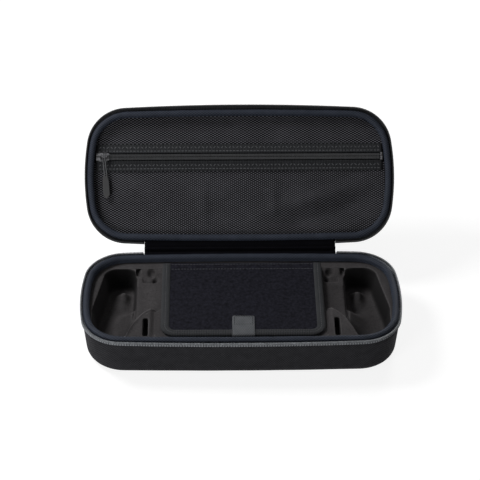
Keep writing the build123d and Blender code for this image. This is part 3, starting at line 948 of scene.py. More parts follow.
@dataclass
class MouldedHalf:
    """One half of the case: its shell, the roll round its rim and its half of the zipper."""

    half: Half
    height: float
    end_radius: float
    tape_finish: ClothFinish
    coil_finish: HardFinish
    shell_seed: float
    roll_seed: float
    lip: float = 0.7
    roll_inset: float = 1.6
    roll_width: float = 6.6
    roll_drop: float = 0.35
    tape_gap: float = 100.0
    coil_pitch: float = 1.42
    coil_margin: float = 0.8
    coil_inset: float = 0.85
    coil_drop: float = 2.6
    coil_turn: Triple = (1.2, 1.6, 2.7)
    coil_bevel: float = 0.3
    dresser: Dresser = field(init=False)

    def __post_init__(self) -> None:
        """Settles where the half's pieces go."""
        self.dresser = Dresser(self.half.value, SIZES.placement(self.half))

    def shell(self) -> None:
        """The pressed shell, with its cover outside and its lining inside."""
        slope, lean = tan(radians(SIZES.draft)), SIZES.draft
        wall = SIZES.wall / cos(radians(lean))
        inner_radius = self.end_radius - SIZES.wall
        outer_rise = self.height - self.end_radius - SIZES.edge_drop
        inner_rise = self.height - SIZES.wall - inner_radius - SIZES.edge_drop
        outer = (outer_rise * slope + self.end_radius / cos(radians(lean)), self.height - self.end_radius)
        inner = (
            wall + inner_rise * slope + inner_radius / cos(radians(lean)),
            self.height - SIZES.wall - inner_radius,
        )
        section = arc_points(inner, inner_radius, 90, 180 - lean, 5)
        section += [(wall, SIZES.edge_drop + 0.6), (wall - 0.6, SIZES.edge_drop)]
        section += [(self.lip, SIZES.edge_drop), (0.0, SIZES.edge_drop + self.lip)]
        for step in (0.25, 0.5, 0.75):
            fall = (outer_rise + 2) * step
            section.append((fall * slope, SIZES.edge_drop + fall))
        section += arc_points(outer, self.end_radius, 180 - lean, 90, 8)
        bm = ribbon(BODY_OUTLINE.track(), section, 4.0, ring=False)
        rims = [edge for edge in bm.edges if edge.is_boundary]
        lay_flat_map(bm, bmesh.ops.holes_fill(bm, edges=rims, sides=0)["faces"])
        pucker(bm, 0.1, 26.0, self.shell_seed)
        name = self.half.value
        self.dresser.piece(f"{name}_shell_cover", bm, SHELL_COVER, "shell_cover", f"{name}_shell")

    def roll(self) -> None:
        """The stuffed roll round the rim, sewn down on its inner side."""
        radius = self.roll_width / 2
        middle = (self.roll_inset + radius, self.roll_drop + radius)
        section = arc_points(middle, radius, 170, 360, 14)
        # Below the roll, the seam on its inner side and the flange that goes behind the tape
        inner = self.roll_inset + self.roll_width
        section += [(inner - 0.15, 5.0), (inner - 0.8, 5.7), (inner - 0.2, 6.3), (inner - 0.5, 7.3)]
        section += [(inner - 1.4, 7.6), (5.9, 7.4), (5.8, 4.5), (4.2, 4.3), (2.4, 4.3)]
        bm = ribbon(BODY_OUTLINE.track(), section, 2.6)
        pucker(bm, 0.22, 13.0, self.roll_seed)
        pucker(bm, 0.1, 4.0, self.roll_seed + 2)
        name = self.half.value
        piece = self.dresser.piece(f"{name}_rim_roll", bm, ROLL_KNIT, "rim_binding", f"{name}_rim_binding")

    def zipper(self) -> None:
        """The zipper's tape, turned up at its free edge, and the nylon coil on it, turn by turn."""
        track = TAPE_OUTLINE.track(self.tape_gap)
        section = [(6.6, 4.95), (1.2, 5.3), (0.3, 5.2), (0.02, 4.6), (0.0, 3.3)]
        section += [(0.75, 3.3), (0.8, 3.9), (1.3, 4.22), (6.6, 4.22)]
        bm = ribbon(track, section, 2.6)
        node = f"{self.half.value}_zipper_tape"
        self.dresser.piece(f"{node}_cloth", bm, self.tape_finish, "zipper_tape", node)
        places = spaced(track, self.coil_pitch, self.coil_margin, self.coil_inset, self.coil_drop)
        bm = blocks(places, self.coil_turn, self.coil_bevel)
        node = f"{self.half.value}_zipper_coil"
        self.dresser.piece(f"{node}_turns", bm, self.coil_finish, "zipper_coil", node, smooth=False)

    def build(self) -> None:
        """Makes every piece of the half."""
        self.shell()
        self.roll()
        self.zipper()


@dataclass
class ClothHinge:
    """The folded strip between the zipper's ends."""

    half_length: float = 99.7
    tuck: float = 65.7
    level: float = 4.6
    thickness: float = 0.8
    corner_radius: float = 1.5
    fold_radius: float = 0.5

    def build(self) -> None:
        """Makes the strip, folded where the case is open, and bends it between the two halves."""
        base, lid = SIZES.placement(Half.BASE), SIZES.placement(Half.LID)
        places = [
            base @ Vector((0, self.tuck, self.level)),
            base @ Vector((0, SIZES.hinge_y, self.level)),
            Vector((0, SIZES.hinge_y, SIZES.base_height)) * MM,
            lid @ Vector((0, SIZES.hinge_y, self.level)),
            lid @ Vector((0, self.tuck, self.level)),
        ]
        bm, line = wire(place / MM for place in places)
        for vert, radius in zip(line[1:4], (self.corner_radius, self.fold_radius, self.corner_radius)):
            bmesh.ops.bevel(
                bm, geom=[vert], offset=radius, affect="VERTICES", segments=4, profile=0.5, material=-1
            )
        bmesh.ops.translate(bm, verts=bm.verts, vec=(-self.half_length, 0, 0))
        draw_out(bm, 2 * self.half_length, 60)
        bmesh.ops.subdivide_edges(bm, edges=[e for e in bm.edges if e.calc_length() > 6], cuts=2)
        pucker(bm, 0.25, 9.0, 4.0)
        thicken(bm, self.thickness)
        piece = Dresser(None).piece("hinge_strip", bm, SHADED_STRIP_COVER, "hinge_fabric", "hinge_fabric")
        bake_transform(piece)


@dataclass
class MouldedTray:
    """The flocked tray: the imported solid, with its wells dished and every edge softened by flock.

    Its two ends are mirror images, so places are given by their distance from the middle.
    """

    voxel: float = 1.0
    rounds: int = 4
    well_rounds: int = 10
    underside: float = 11.0
    floor: float = 13.0
    upper: float = 26.0
    crown: float = 30.0
    shoulder: float = 33.4
    seat: float = 37.4
    top: float = 40.0
    well_start: float = 99.0
    well_top: float = 36.0
    ramp_side: Pair = (101.0, 134.0)
    ramp_front: Pair = (-44.0, -20.0)
    ramp_back: Pair = (-6.0, 14.0)
    hump_fall: Pair = (0.5, 13.0)
    hump_side: float = 86.6
    hump_front: float = -7.0
    hump_back: float = 4.0
    knob: Pair = (120.5, 30.0)
    knob_reach: float = 7.0
    knob_left: float = 0.25
    ridge_x: float = 121.0
    ridge_half: float = 9.0
    ridge_height: float = 8.5
    ridge_front: Pair = (12.0, 36.0)
    ridge_back: Pair = (37.0, 43.0)
    shoulder_reach: Pair = (84.0, 114.0)
    shoulder_side: Pair = (84.0, 101.0)
    shoulder_front: Pair = (-24.0, -8.0)
    shoulder_back: Pair = (26.0, 36.0)
    shoulder_fall: float = 2.6
    ledge_end: float = 104.0
    ledge_front: float = 30.0
    ledge_slope: Pair = (38.0, 56.0)
    ledge_sink: float = 1.6
    ledge_rise: float = 8.2
    slot: Pair = (91.0, 100.0)
    slot_back: float = -24.0
    seat_edge: Pair = (87.2, 92.0)
    crest_foot: Pair = (-1.5, 2.5)
    crest_side: float = 80.0
    crest_start: Pair = (84.0, 93.0)
    crest_height: float = 1.8
    crest_width: float = 2.2
    pit_depth: float = 4.0
    wells_from: float = 100.0
    wells_depth: Pair = (11.0, 33.0)
    wells_half: float = 50.0
    pits: tuple[Triple, ...] = ((92.0, 49.0, 3.0), (88.0, 41.0, 2.2))
    crest: tuple[Pair, ...] = (
        (84.0, -8.0),
        (91.5, -10.5),
        (98.5, -16.5),
        (105.0, -26.0),
        (111.0, -40.0),
        (116.5, -56.0),
    )

    @staticmethod
    def ease(value: float, low: float, high: float) -> float:
        """A smooth step from 0 at low to 1 at high."""
        share = min(max((value - low) / (high - low), 0.0), 1.0)
        return share * share * (3 - 2 * share)

    def from_crest(self, x: float, y: float) -> float:
        """How far a point is outside the hump's crest in the plan.

        Args:
            x: the distance from the tray's middle.
            y: the place across the tray.

        Returns:
            The distance, negative inside the crest.
        """
        here, best = Vector((x, y)), 99.0
        for start, end in zip(self.crest, self.crest[1:]):
            line, away = Vector(end) - Vector(start), here - Vector(start)
            share = min(max(away.dot(line) / line.length_squared, 0.0), 1.0)
            distance = (away - line * share).length
            if distance < abs(best):
                best = distance if line.x * away.y - line.y * away.x > 0 else -distance
        return best

    def in_well(self, x: float, y: float, z: float, outside: float) -> float:
        """The height of a point in a well.

        Args:
            x: the distance from the tray's middle.
            y: the place across the tray.
            z: its height so far.
            outside: how far it is outside the hump's crest.

        Returns:
            Its new height.
        """
        # In front of its groove, a well's inner side runs out in a slope
        slope = (1 - self.ease(x, *self.ramp_side)) * (1 - self.ease(y, *self.ramp_back))
        slope *= self.ease(y, *self.ramp_front)
        # The hump stays high as far as its crest
        hump = 1 - self.ease(outside, *self.hump_fall) if y < self.hump_back else 0.0
        z = max(z, self.floor + (self.shoulder - self.floor) * max(slope, hump))
        # The knob becomes the soft ridge at the foot of the back wall
        if hypot(x - self.knob[0], y - self.knob[1]) < self.knob_reach:
            z = self.floor + (z - self.floor) * self.knob_left
        side = max(1 - ((x - self.ridge_x) / self.ridge_half) ** 2, 0.0) ** 2
        back = self.ease(y, *self.ridge_front) * (1 - self.ease(y, *self.ridge_back))
        return max(z, self.floor + self.ridge_height * side * back)

    def dished(self, x: float, y: float, z: float) -> float:
        """The height to which a point of the tray is moulded.

        Args:
            x: the distance from the tray's middle.
            y: the place across the tray.
            z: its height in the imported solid.

        Returns:
            Its new height.
        """
        if z < self.underside:
            return z
        outside = self.from_crest(x, y)
        if x > self.well_start and z < self.well_top:
            z = self.in_well(x, y, z, outside)
        # The shoulders fall away towards the wells, and rise softly to the ledge behind
        near, far = self.shoulder_reach
        if self.crown < z and near < x < far and y < self.shoulder_back[1]:
            across = (1 - self.ease(y, *self.shoulder_back)) * self.ease(y, *self.shoulder_front)
            z -= self.shoulder_fall * self.ease(x, *self.shoulder_side) * across
        if self.upper < z < self.top and x < self.ledge_end and y > self.ledge_front:
            z = max(z, self.shoulder - self.ledge_sink + self.ledge_rise * self.ease(y, *self.ledge_slope))
        # The hump's top reaches out to its crest and comes down softly to the flap's seat
        in_slot = self.slot[0] < x < self.slot[1] and y < self.slot_back
        on_hump = self.hump_side < x and y < self.hump_front and not in_slot
        if on_hump and self.crown < z < self.top + 0.5:
            top = self.seat + (self.top - self.seat) * self.ease(x, *self.seat_edge)
            z += (top - z) * (1 - self.ease(outside, *self.crest_foot))
        # The hump's edge stands up in a rounded crest
        if self.crest_side < x and y < 0.0 and self.upper < z:
            rise = self.crest_height * exp(-((outside / self.crest_width) ** 2))
            z += rise * self.ease(x, *self.crest_start)
        # Two small pits behind each shoulder
        for pit_x, pit_y, radius in self.pits:
            away, rim = hypot(x - pit_x, y - pit_y), radius * 1.6
            if away < rim and self.upper < z:
                z -= self.pit_depth * (1 - self.ease(away, radius * 0.4, rim))
        return z

    def remeshed(self) -> Object:
        """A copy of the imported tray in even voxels.

        Returns:
            The copy.
        """
        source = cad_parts["base_tray"]
        bm = bmesh.new()
        bm.from_mesh(source.data)
        bmesh.ops.transform(bm, matrix=source.matrix_world, verts=bm.verts)
        bmesh.ops.remove_doubles(bm, verts=bm.verts, dist=1e-6)
        tray = mesh_object("tray_flock", bm)
        remesh = tray.modifiers.new("voxels", "REMESH")
        remesh.mode = "VOXEL"
        remesh.voxel_size = self.voxel * MM
        made = bpy.data.meshes.new_from_object(tray.evaluated_get(bpy.context.evaluated_depsgraph_get()))
        tray.modifiers.clear()
        tray.data = made
        return tray

    def build(self) -> None:
        """Moulds the tray and softens it, its wells more than the rest."""
        tray = self.remeshed()
        bm = bmesh.new()
        bm.from_mesh(tray.data)
        for vert in bm.verts:
            x, y, z = vert.co / MM
            vert.co.z = self.dished(abs(x), y, z) * MM
        side, half = self.wells_from * MM, self.wells_half * MM
        low, high = (depth * MM for depth in self.wells_depth)
        wells = [
            vert
            for vert in bm.verts
            if abs(vert.co.x) > side and low < vert.co.z < high and abs(vert.co.y) < half
        ]
        for verts, rounds in ((list(bm.verts), self.rounds), (wells, self.well_rounds)):
            for _ in range(rounds):
                bmesh.ops.smooth_vert(
                    bm, verts=verts, factor=0.5, use_axis_x=True, use_axis_y=True, use_axis_z=True
                )
        bm.to_mesh(tray.data)
        bm.free()
        tray.data.shade_smooth()
        LOG.info("tray_flock has %d faces", len(tray.data.polygons))
        Dresser("base").attach(tray, FLOCK, "tray_lining", "base_tray")


@dataclass
class Flap:
    """The flap over the storage bay: a covered board, its ribbon binding, strip and tab."""

    offset: float = 1.8
    half_width: float = 82.5
    front: float = -53.8
    back: float = 61.4
    strip: float = 14.0
    corner: float = 15.0
    binding: float = 8.6
    seat: float = 37.4
    board_gap: float = 1.2
    board_lap: float = 3.0
    board_corner: float = 13.0
    board_low: float = 0.45
    board_top: float = 2.45
    board_grid: tuple[int, int] = (82, 52)
    crown: float = 0.5
    ripple: float = 0.22
    ripple_size: float = 17.0
    tab_shift: float = 0.4
    tab_width: float = 22.8
    tab_reach: float = 29.5
    stitch: float = 3.2
    tab_stitch: float = 2.6
    stitch_size: Triple = (2.1, 0.5, 0.34)
    stitch_bevel: float = 0.14
    sewn_box: Pair = (17.8, 12.0)
    dresser: Dresser = field(default_factory=lambda: Dresser("base"))

    def edge(self) -> Track:
        """The flap's edge, from its back right corner round the front to its back left.

        Returns:
            The track, an open one.
        """
        start = (self.offset + self.half_width, self.back - 0.4)
        side = Leg(length=start[1] - self.front - self.corner)
        turn = Leg(radius=self.corner, angle=pi / 2)
        front = Leg(length=2 * (self.half_width - self.corner))
        return Track(start, pi, (side, turn, front, turn, side))

    def board(self) -> None:
        """The covered board, a little crowned."""
        bm = bmesh.new()
        low, high = self.front + self.board_gap, self.back - self.strip + self.board_lap
        wide, deep, middle = self.half_width - self.board_gap, (high - low) / 2, (low + high) / 2
        round_off = self.board_corner
        columns, rows = self.board_grid
        bmesh.ops.create_grid(bm, x_segments=columns, y_segments=rows, size=1.0)
        for vert in bm.verts:
            u, v = vert.co.x, vert.co.y
            crown = self.crown * (1 - u**4) * (1 - v**4)
            # The corners at the front are rounded with the binding
            x, y = u * wide, v * deep
            beyond = Vector((max(abs(x) - wide + round_off, 0), max(-y - deep + round_off, 0)))
            if beyond.x > 0 and beyond.y > 0 and beyond.length > round_off:
                excess = beyond * (1 - round_off / beyond.length)
                x -= excess.x * (1 if x > 0 else -1)
                y += excess.y
            ripple = self.ripple * noise.noise(Vector((x / self.ripple_size, y / self.ripple_size, 2.0)))
            vert.co = (self.offset + x, middle + y, self.seat + self.board_top + crown + ripple)
        rim = [edge for edge in bm.edges if edge.is_boundary]
        for vert in of_kind(bmesh.ops.extrude_edge_only(bm, edges=rim)["geom"], BMVert):
            vert.co.z = self.seat + self.board_low
        bmesh.ops.holes_fill(bm, edges=[edge for edge in bm.edges if edge.is_boundary], sides=0)
        piece = self.dresser.piece("flap_board", bm, LOOP_CLOTH, "flap_cloth", "flap_panel")

    def ribbon_binding(self) -> None:
        """The ribbon folded over the board's edge, with a shallow channel under its stitches."""
        top, low, wide = self.seat + 3.45, self.seat + 0.05, self.binding
        section = [(wide, top - 0.75), (wide - 0.35, top - 0.25), (5.2, top - 0.05), (4.3, top - 0.15)]
        section += [(3.4, top - 0.05), (1.5, top - 0.2), (0.4, top - 0.8), (0.0, (top + low) / 2)]
        section += [(0.4, low + 0.5), (1.5, low), (wide, low), (wide, low + 0.3)]
        bm = ribbon(self.edge(), section, 2.4)
        pucker(bm, 0.12, 5.0, 9.0)
        self.dresser.piece("flap_ribbon", bm, GROSGRAIN, "flap_binding", "flap_binding")

    def hinge_cloth(self) -> None:
        """The strip that joins the flap to the tray, with a sewn channel along it."""
        half, depth = self.half_width - 6.0, self.strip
        level = self.seat + 2.5
        section = [(0.0, level - 1.9), (0.0, level + 0.2), (0.6, level + 0.5), (depth - 3.4, level + 0.5)]
        section += [(depth - 2.5, level + 0.35), (depth - 1.9, level - 0.2), (depth - 1.2, level + 0.3)]
        section += [(depth - 0.4, level + 0.35), (depth, level - 0.1), (depth, level - 1.9)]
        bm = ribbon(straight(self.offset - half, self.back, 2 * half), section, 3.0)
        pucker(bm, 0.12, 6.0, 6.0)
        self.dresser.piece("flap_hinge_cloth", bm, LOOP_CLOTH, "flap_binding", "flap_hinge_strip")

    def tab(self) -> None:
        """The folded webbing tab, sewn to the flap and hanging over its front."""
        left = self.offset + self.tab_shift - self.tab_width / 2
        back, front = self.front + self.tab_reach, self.front
        low, high = self.seat + 3.0, self.seat + 3.5
        line = [(back, low), (back - 6, low + 0.1), (front + 10.5, low), (front + 8, high)]
        line += [(front + 1.0, high + 0.1), (front - 0.5, high - 0.2), (front - 0.85, high - 1.2)]
        line += [(front - 0.9, self.seat + 0.7)]
        bm, _ = wire((left, y, z) for y, z in line)
        draw_out(bm, self.tab_width, 8)
        thicken(bm, -1.0)
        piece = self.dresser.piece("flap_tab_webbing", bm, WEBBING, "flap_tab", "flap_pull_tab")
        finer = piece.modifiers.new("finer", "SUBSURF")
        finer.levels = finer.render_levels = 1

    def stitches(self) -> None:
        """The rows of stitches on the binding, the strip and the tab."""
        rows = spaced(self.edge(), self.stitch, 1.0, 4.3, self.seat + 3.28)
        left, width = self.offset - self.half_width + 8, 2 * self.half_width - 16
        for y in (self.back - 2.5, self.back - self.strip + 3.6):
            rows += spaced(straight(left, y, width), self.stitch, 1.0, 0.0, self.seat + 3.05)
        wide, deep = self.sewn_box
        start = (self.offset + self.tab_shift - wide / 2, self.front + self.tab_reach - 1.6)
        turn = Leg(radius=0.2, angle=pi / 2)
        box = [Leg(length=wide), turn, Leg(length=deep), turn] * 2
        sewn = spaced(Track(start, pi / 2, tuple(box[:-1])), self.tab_stitch, 0.4, 0.0, self.seat + 4.05)
        for name, places, finish, slot in (
            ("flap_stitches", rows, THREAD, "flap_binding"),
            ("flap_tab_stitches", sewn, SHADED_THREAD, "flap_tab"),
        ):
            bm = blocks(places, self.stitch_size, self.stitch_bevel)
            self.dresser.piece(name, bm, finish, slot, smooth=False)

    def build(self) -> None:
        """Makes every piece of the flap."""
        self.board()
        self.ribbon_binding()
        self.hinge_cloth()
        self.tab()
        self.stitches()


@dataclass(frozen=True)
class Fold:
    """A soft fold of a net along a line, towards the viewer where its depth is negative."""

    start: Pair
    end: Pair
    width: float
    depth: float

    def height(self, x: float, y: float) -> float:
        """How far the fold moves the net at a point.

        Args:
            x: the point's place along the lid.
            y: its place across the lid.

        Returns:
            The move into the lid, in millimetres.
        """
        line = Vector(self.end) - Vector(self.start)
        here = Vector((x, y)) - Vector(self.start)
        share = here.dot(line) / line.length_squared
        if not 0.0 < share < 1.0:
            return 0.0
        away = abs(here.x * line.y - here.y * line.x) / line.length
        return self.depth * exp(-((away / self.width) ** 2)) * sin(pi * share) ** 0.7


@dataclass
class NetPocket:
    """The zipped net pocket in the lid, drawn on the rim plane, where -Y is away from the hinge."""

    line: float = -19.9
    drop: float = 7.95
    tape_gap: float = 0.65
    tape_half: float = 150.6
    upper_width: float = 12.85
    lower_width: float = 14.35
    net_rise: float = 0.85
    reach: float = 6.2
    edge_inset: float = 6.2
    hem: float = 1.2
    columns: int = 150
    zip_half: float = 148.2
    coil_pitch: float = 1.45
    coil_turn: Triple = (1.25, 2.95, 1.5)
    coil_offset: float = 1.58
    coil_rise: float = 0.75
    coil_bevel: float = 0.3
    stitch_half: float = 149.0
    stitch_size: Triple = (2.4, 0.8, 0.5)
    stitch_bevel: float = 0.2
    folds: tuple[Fold, ...] = (
        Fold((5.0, 46.0), (158.0, 2.0), 8.0, -3.4),
        Fold((40.0, 58.0), (158.0, 20.0), 9.0, 3.6),
        Fold((95.0, 64.0), (158.0, 38.0), 6.0, -2.4),
        Fold((-38.0, 4.0), (-36.0, 68.0), 5.0, -1.2),
        Fold((37.0, 0.0), (35.0, 50.0), 5.0, -1.4),
        Fold((-30.0, -62.0), (60.0, -34.0), 8.0, 1.2),
    )
    dresser: Dresser = field(default_factory=lambda: Dresser("lid", SIZES.placement(Half.LID)))

    def net(self, node: str, near: float, far: float, rows: int) -> None:
        """One of the two nets, sewn in along the rim and along the zipper's tape.

        Args:
            node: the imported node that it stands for.
            near: its height across the lid at the zipper.
            far: its height at the rim.
            rows: how many rows of faces it has.
        """
        bm = bmesh.new()
        bmesh.ops.create_grid(bm, x_segments=self.columns, y_segments=rows, size=0.5)
        for vert in bm.verts:
            u, v = vert.co.x * 2, vert.co.y + 0.5
            y = near + (far - near) * v
            x = u * BODY_OUTLINE.reach(y, self.edge_inset)
            free = (1 - abs(u) ** 6) * (4 * v * (1 - v)) ** 0.5
            # Its slack swells slantwise, in wide waves with small ones on them
            slack = noise.noise(Vector((x / 46 - y / 60, y / 21 + x / 90, 1.3))) * 0.8
            slack += noise.noise(Vector((x / 17 + y / 12, y / 30, 7.1))) * 0.3
            slack += sum(fold.height(x, y) for fold in self.folds)
            vert.co = (x, y, self.drop + self.net_rise + free * (0.9 + slack))
        lay_flat_map(bm, bm.faces)
        piece = self.dresser.piece(f"{node}_cloth", bm, NET, "pocket_net", node)
        width, length = 2 * BODY_OUTLINE.reach(0, self.edge_inset) * MM, abs(far - near) * MM

    def tapes(self) -> None:
        """The two tapes of the pocket's zipper, each with a sewn and a free edge."""
        top = self.drop
        for word, side, width in (("upper", -1, self.upper_width), ("lower", 1, self.lower_width)):
            section = [(0.0, top + 1.2), (0.0, top + 0.05), (2.2, top + 0.05), (2.5, top + 1.0)]
            section += [(3.5, top + 1.0), (3.6, top - 0.6), (3.9, top - 0.9), (4.6, top - 0.85)]
            section += [(5.3, top - 0.1), (width - 0.6, top), (width, top + 0.25), (width, top + 1.2)]
            section = [(-side * inset, level) for inset, level in section]
            line = straight(-self.tape_half, self.line + side * self.tape_gap, 2 * self.tape_half)
            bm = ribbon(line, section, 3.0)
            pucker(bm, 0.1, 12.0, 3.0 + side)
            node = f"pocket_tape_{word}"
            self.dresser.piece(f"{node}_cloth", bm, SHADED_ZIPPER_TAPE, "zipper_tape", node)

    def coils(self) -> None:
        """The two coils of the pocket's zipper, turn by turn."""
        line = straight(-self.zip_half, self.line, 2 * self.zip_half)
        for word, side in (("upper", -1), ("lower", 1)):
            inset, level = -side * self.coil_offset, self.drop - self.coil_rise
            bm = blocks(spaced(line, self.coil_pitch, 0.5, inset, level), self.coil_turn, self.coil_bevel)
            node = f"pocket_coil_{word}"
            self.dresser.piece(f"{node}_turns", bm, SHADED_COIL, "zipper_coil", node, smooth=False)

    def stitches(self) -> None:
        """The stitches that hold the tapes to the nets, two straight rows and two zigzags."""
        places = []
        for y, pitch, lean in ((-6.4, 3.6, 0.0), (-10.2, 4.0, 0.7), (8.6, 4.0, 0.7), (12.4, 3.6, 0.0)):
            row = straight(-self.stitch_half, self.line + y, 2 * self.stitch_half)
            places += spaced(row, pitch, 0.5, 0.0, self.drop - 0.05, lean)
        bm = blocks(places, self.stitch_size, self.stitch_bevel)
        self.dresser.piece("pocket_stitches", bm, THREAD, "zipper_tape", smooth=False)

    def build(self) -> None:
        """Makes every piece of the pocket that is fixed to the lid."""
        rim = SIZES.depth / 2 - self.edge_inset - self.hem
        self.net("pocket_net_upper", self.line - self.reach, -rim, 24)
        self.net("pocket_net_lower", self.line + self.reach, rim, 44)
        self.tapes()
        self.coils()
        self.stitches()
        for side in ("left", "right"):
            self.dresser.dress_node(f"pocket_stop_{side}", GUNMETAL)


@dataclass
class CordPull:
    """A slider's cord loop, which leaves the grip, goes round the bridge's bar and comes back."""

    dresser: Dresser
    name: str
    node: str
    length: float
    level: float
    diameter: float = 1.3
    strand: float = 1.2
    under: float = -3.95
    over: float = -6.95
    turn: float = -2.35
    bend: float = 5.0
    socket: float = 4.0

    def build(self) -> None:
        """Makes the loop as one smooth cord."""
        left, right = -self.strand, self.strand
        route = [
            (left, self.length + self.socket, self.level),
            (left, self.length, self.level),
            (left, self.bend, self.under),
            (left, self.turn, self.under),
            (right, self.turn, self.over),
            (right, self.bend, self.over),
            (right, self.length, self.level),
            (right, self.length + self.socket, self.level),
        ]
        points = [self.dresser.place @ Vector(point) for point in route]
        curve = bpy.data.curves.new(self.name, "CURVE")
        curve.dimensions = "3D"
        curve.bevel_depth = self.diameter / 2 * MM
        curve.bevel_resolution = 4
        curve.resolution_u = 16
        spline = curve.splines.new("NURBS")
        spline.points.add(len(points) - 1)
        for point, spot in zip(spline.points, points):
            point.co = (*spot, 1.0)
        spline.order_u = 3
        spline.use_endpoint_u = True
        piece = linked(self.name, curve)
        self.dresser.attach(piece, CORD, "pull_cord", self.node)

    @staticmethod
    def spline_length(points: list[Vector]) -> float:
        """The length of the smooth line through the route's corners.

        Args:
            points: the route's corners.

        Returns:
            The length in metres.
        """
        middles = [points[0], *[(a + b) / 2 for a, b in zip(points[1:-2], points[2:-1])], points[-1]]
        total = 0.0
        for start, corner, end in zip(middles, points[1:-1], middles[1:]):
            shares = [number / 12 for number in range(13)]
            spots = [start * (1 - t) ** 2 + corner * 2 * t * (1 - t) + end * t**2 for t in shares]
            total += sum((b - a).length for a, b in zip(spots, spots[1:]))
        return total


@dataclass
class Sliders:
    """The pocket's slider and the two parked sliders of the main zipper, with their pulls."""

    pocket_spot: Triple = (-142.4, -19.9, 7.95)
    pocket_tilt: float = -5.6
    pocket_cord: Pair = (20.0, -2.05)
    parked_x: float = 107.5
    parked_y: float = 71.75
    parked_drop: float = 11.2
    parked_cord: Pair = (11.0, -5.45)

    def build(self) -> None:
        """Dresses the sliders and grips and makes the cord loops."""
        tilt = Matrix.Rotation(radians(self.pocket_tilt), 4, "Z")
        place = SIZES.placement(Half.LID) @ Matrix.Translation(self.pocket_spot) @ tilt
        pocket = Dresser("pocket_slider_body", place)
        CordPull(pocket, "pocket_cord_loop", "pocket_pull_cord", *self.pocket_cord).build()
        # The parked sliders hang with their backs to the shell, so the cord's Z runs along -Y
        axes = Matrix(((-1, 0, 0, 0), (0, 0, -1, 0), (0, -1, 0, 0), (0, 0, 0, 1)))
        for word, side in (("left", -1), ("right", 1)):
            spot = (side * self.parked_x, self.parked_y, SIZES.base_height - self.parked_drop)
            mirror = Matrix.Diagonal((-side, 1, 1, 1))
            place = Matrix.Scale(MM, 4) @ Matrix.Translation(spot) @ axes @ mirror
            parked = Dresser("base", place)
            CordPull(parked, f"main_cord_loop_{word}", f"main_pull_cord_{word}", *self.parked_cord).build()
            parked.dress_node(f"main_slider_{word}", GUNMETAL)
            parked.dress_node(f"main_pull_grip_{word}", RUBBER)
            parked.dress_node(f"zipper_tail_{word}", SHADED_ZIPPER_TAPE)
        pocket.dress_node("pocket_slider", GUNMETAL)
        pocket.dress_node("pocket_pull_grip", RUBBER)


@dataclass(frozen=True)
class Lamp:
    """A round soft light: its place and width in metres, and its power in watts."""

    name: str
    place: Triple
    width: float
    power: float


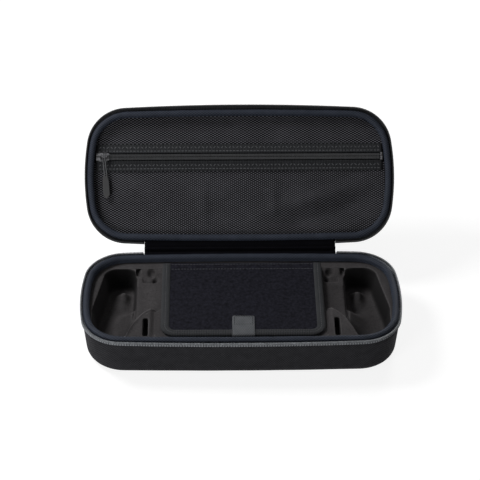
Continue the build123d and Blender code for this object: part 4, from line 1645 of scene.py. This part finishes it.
@dataclass
class Studio:
    """The pale floor, the soft light and the camera, in metres and degrees."""

    place: Triple = (-0.02136, -1.43019, 1.22752)
    yaw: float = 0.810
    pitch: float = 37.806
    roll: float = 0.172
    lens: float = 137.43
    floor_half: float = 4.0
    floor_grey: str = "#8c8c8c"
    floor_white: str = "#959595"
    floor_glow: float = 0.84
    aim: Triple = (0.0, 0.03, 0.05)
    room_light: float = 0.13
    lamps: tuple[Lamp, ...] = (
        Lamp("key_softbox", (-0.62, 0.25, 0.85), 0.35, 6.6),
        Lamp("front_softbox", (-0.75, -1.0, 0.25), 0.5, 8.4),
        Lamp("back_softbox", (0.5, 1.5, 0.75), 0.6, 9.0),
    )

    @staticmethod
    def showing_rays(tree: NodeTree) -> NodeSocket:
        """Adds the nodes that are 1 for a ray that shows the background.

        That is a ray from the camera, one off a glossy surface or one through a clear one.

        Args:
            tree: the floor's or the room's node tree.

        Returns:
            The socket that says so.
        """
        seen = add_node(tree, "ShaderNodeLightPath", {}, {}, "Is Camera Ray")
        kinds = seen.node.outputs
        for kind in ("Is Glossy Ray", "Is Transmission Ray"):
            seen = add_node(tree, "ShaderNodeMath", {"operation": "MAXIMUM"}, {0: seen, 1: kinds[kind]})
        return seen

    def floor(self) -> None:
        """A pale floor that is white to the camera, with the object's soft shadow on it."""
        bm = bmesh.new()
        bmesh.ops.create_grid(bm, x_segments=1, y_segments=1, size=self.floor_half)
        ground = mesh_object("studio_floor", bm)
        material = empty_material("white_paper_floor")
        tree = material.node_tree
        seen = self.showing_rays(tree)
        grey = add_node(tree, "ShaderNodeBsdfDiffuse", {"Color": linear(self.floor_grey)}, {})
        paper = add_node(tree, "ShaderNodeBsdfDiffuse", {"Color": linear(self.floor_white)}, {})
        glow = add_node(tree, "ShaderNodeEmission", {"Strength": self.floor_glow}, {})
        white = add_node(tree, "ShaderNodeAddShader", {}, {0: paper, 1: glow})
        shown = add_node(tree, "ShaderNodeMixShader", {}, {0: seen, 1: grey, 2: white})
        add_node(tree, "ShaderNodeOutputMaterial", {}, {"Surface": shown})
        ground.data.materials.append(material)

    def light(self) -> None:
        """Soft light from above and the left, weaker light in front and behind, and a pale room."""
        world = bpy.data.worlds.new("pale_room")
        bpy.context.scene.world = world
        world.use_nodes = True
        tree = world.node_tree
        tree.nodes.clear()
        level = {"To Min": self.room_light, "To Max": 1.0}
        strength = add_node(tree, "ShaderNodeMapRange", level, {0: self.showing_rays(tree)})
        room = add_node(tree, "ShaderNodeBackground", {"Color": linear("#ffffff")}, {"Strength": strength})
        add_node(tree, "ShaderNodeOutputWorld", {}, {"Surface": room})
        for lamp in self.lamps:
            data = bpy.data.lights.new(lamp.name, "AREA")
            data.shape = "DISK"
            data.size = lamp.width
            data.energy = lamp.power
            thing = linked(lamp.name, data)
            thing.location = lamp.place
            towards = Vector(self.aim) - Vector(lamp.place)
            thing.rotation_euler = towards.to_track_quat("-Z", "Y").to_euler()

    def camera(self) -> None:
        """The camera where the photograph was taken from."""
        data = bpy.data.cameras.new("photo_camera")
        data.lens = self.lens
        data.sensor_width = 36.0
        data.clip_start, data.clip_end = 0.05, 20.0
        camera = linked("photo_camera", data)
        heading = Matrix.Rotation(radians(-self.yaw), 3, "Z")
        tip = Matrix.Rotation(radians(90 - self.pitch), 3, "X")
        camera.location = self.place
        camera.rotation_euler = (heading @ tip @ Matrix.Rotation(radians(self.roll), 3, "Z")).to_euler()
        bpy.context.scene.camera = camera

    def build(self) -> None:
        """Makes the camera, the floor and the light."""
        self.camera()
        self.floor()
        self.light()
        bpy.context.scene.view_settings.view_transform = "Standard"


def main() -> None:
    """Builds the whole scene in order."""
    logging.basicConfig(level=logging.INFO, format="%(name)s: %(message)s")
    Studio().build()
    Sliders().build()
    MouldedHalf(Half.BASE, SIZES.base_height, 11.0, ZIPPER_TAPE, NYLON_COIL, 8.0, 1.0).build()
    MouldedHalf(Half.LID, SIZES.lid_height, 12.0, SHADED_ZIPPER_TAPE, SHADED_COIL, 3.0, 5.0).build()
    ClothHinge().build()
    MouldedTray().build()
    Flap().build()
    NetPocket().build()


if __name__ == "__main__":
    main()
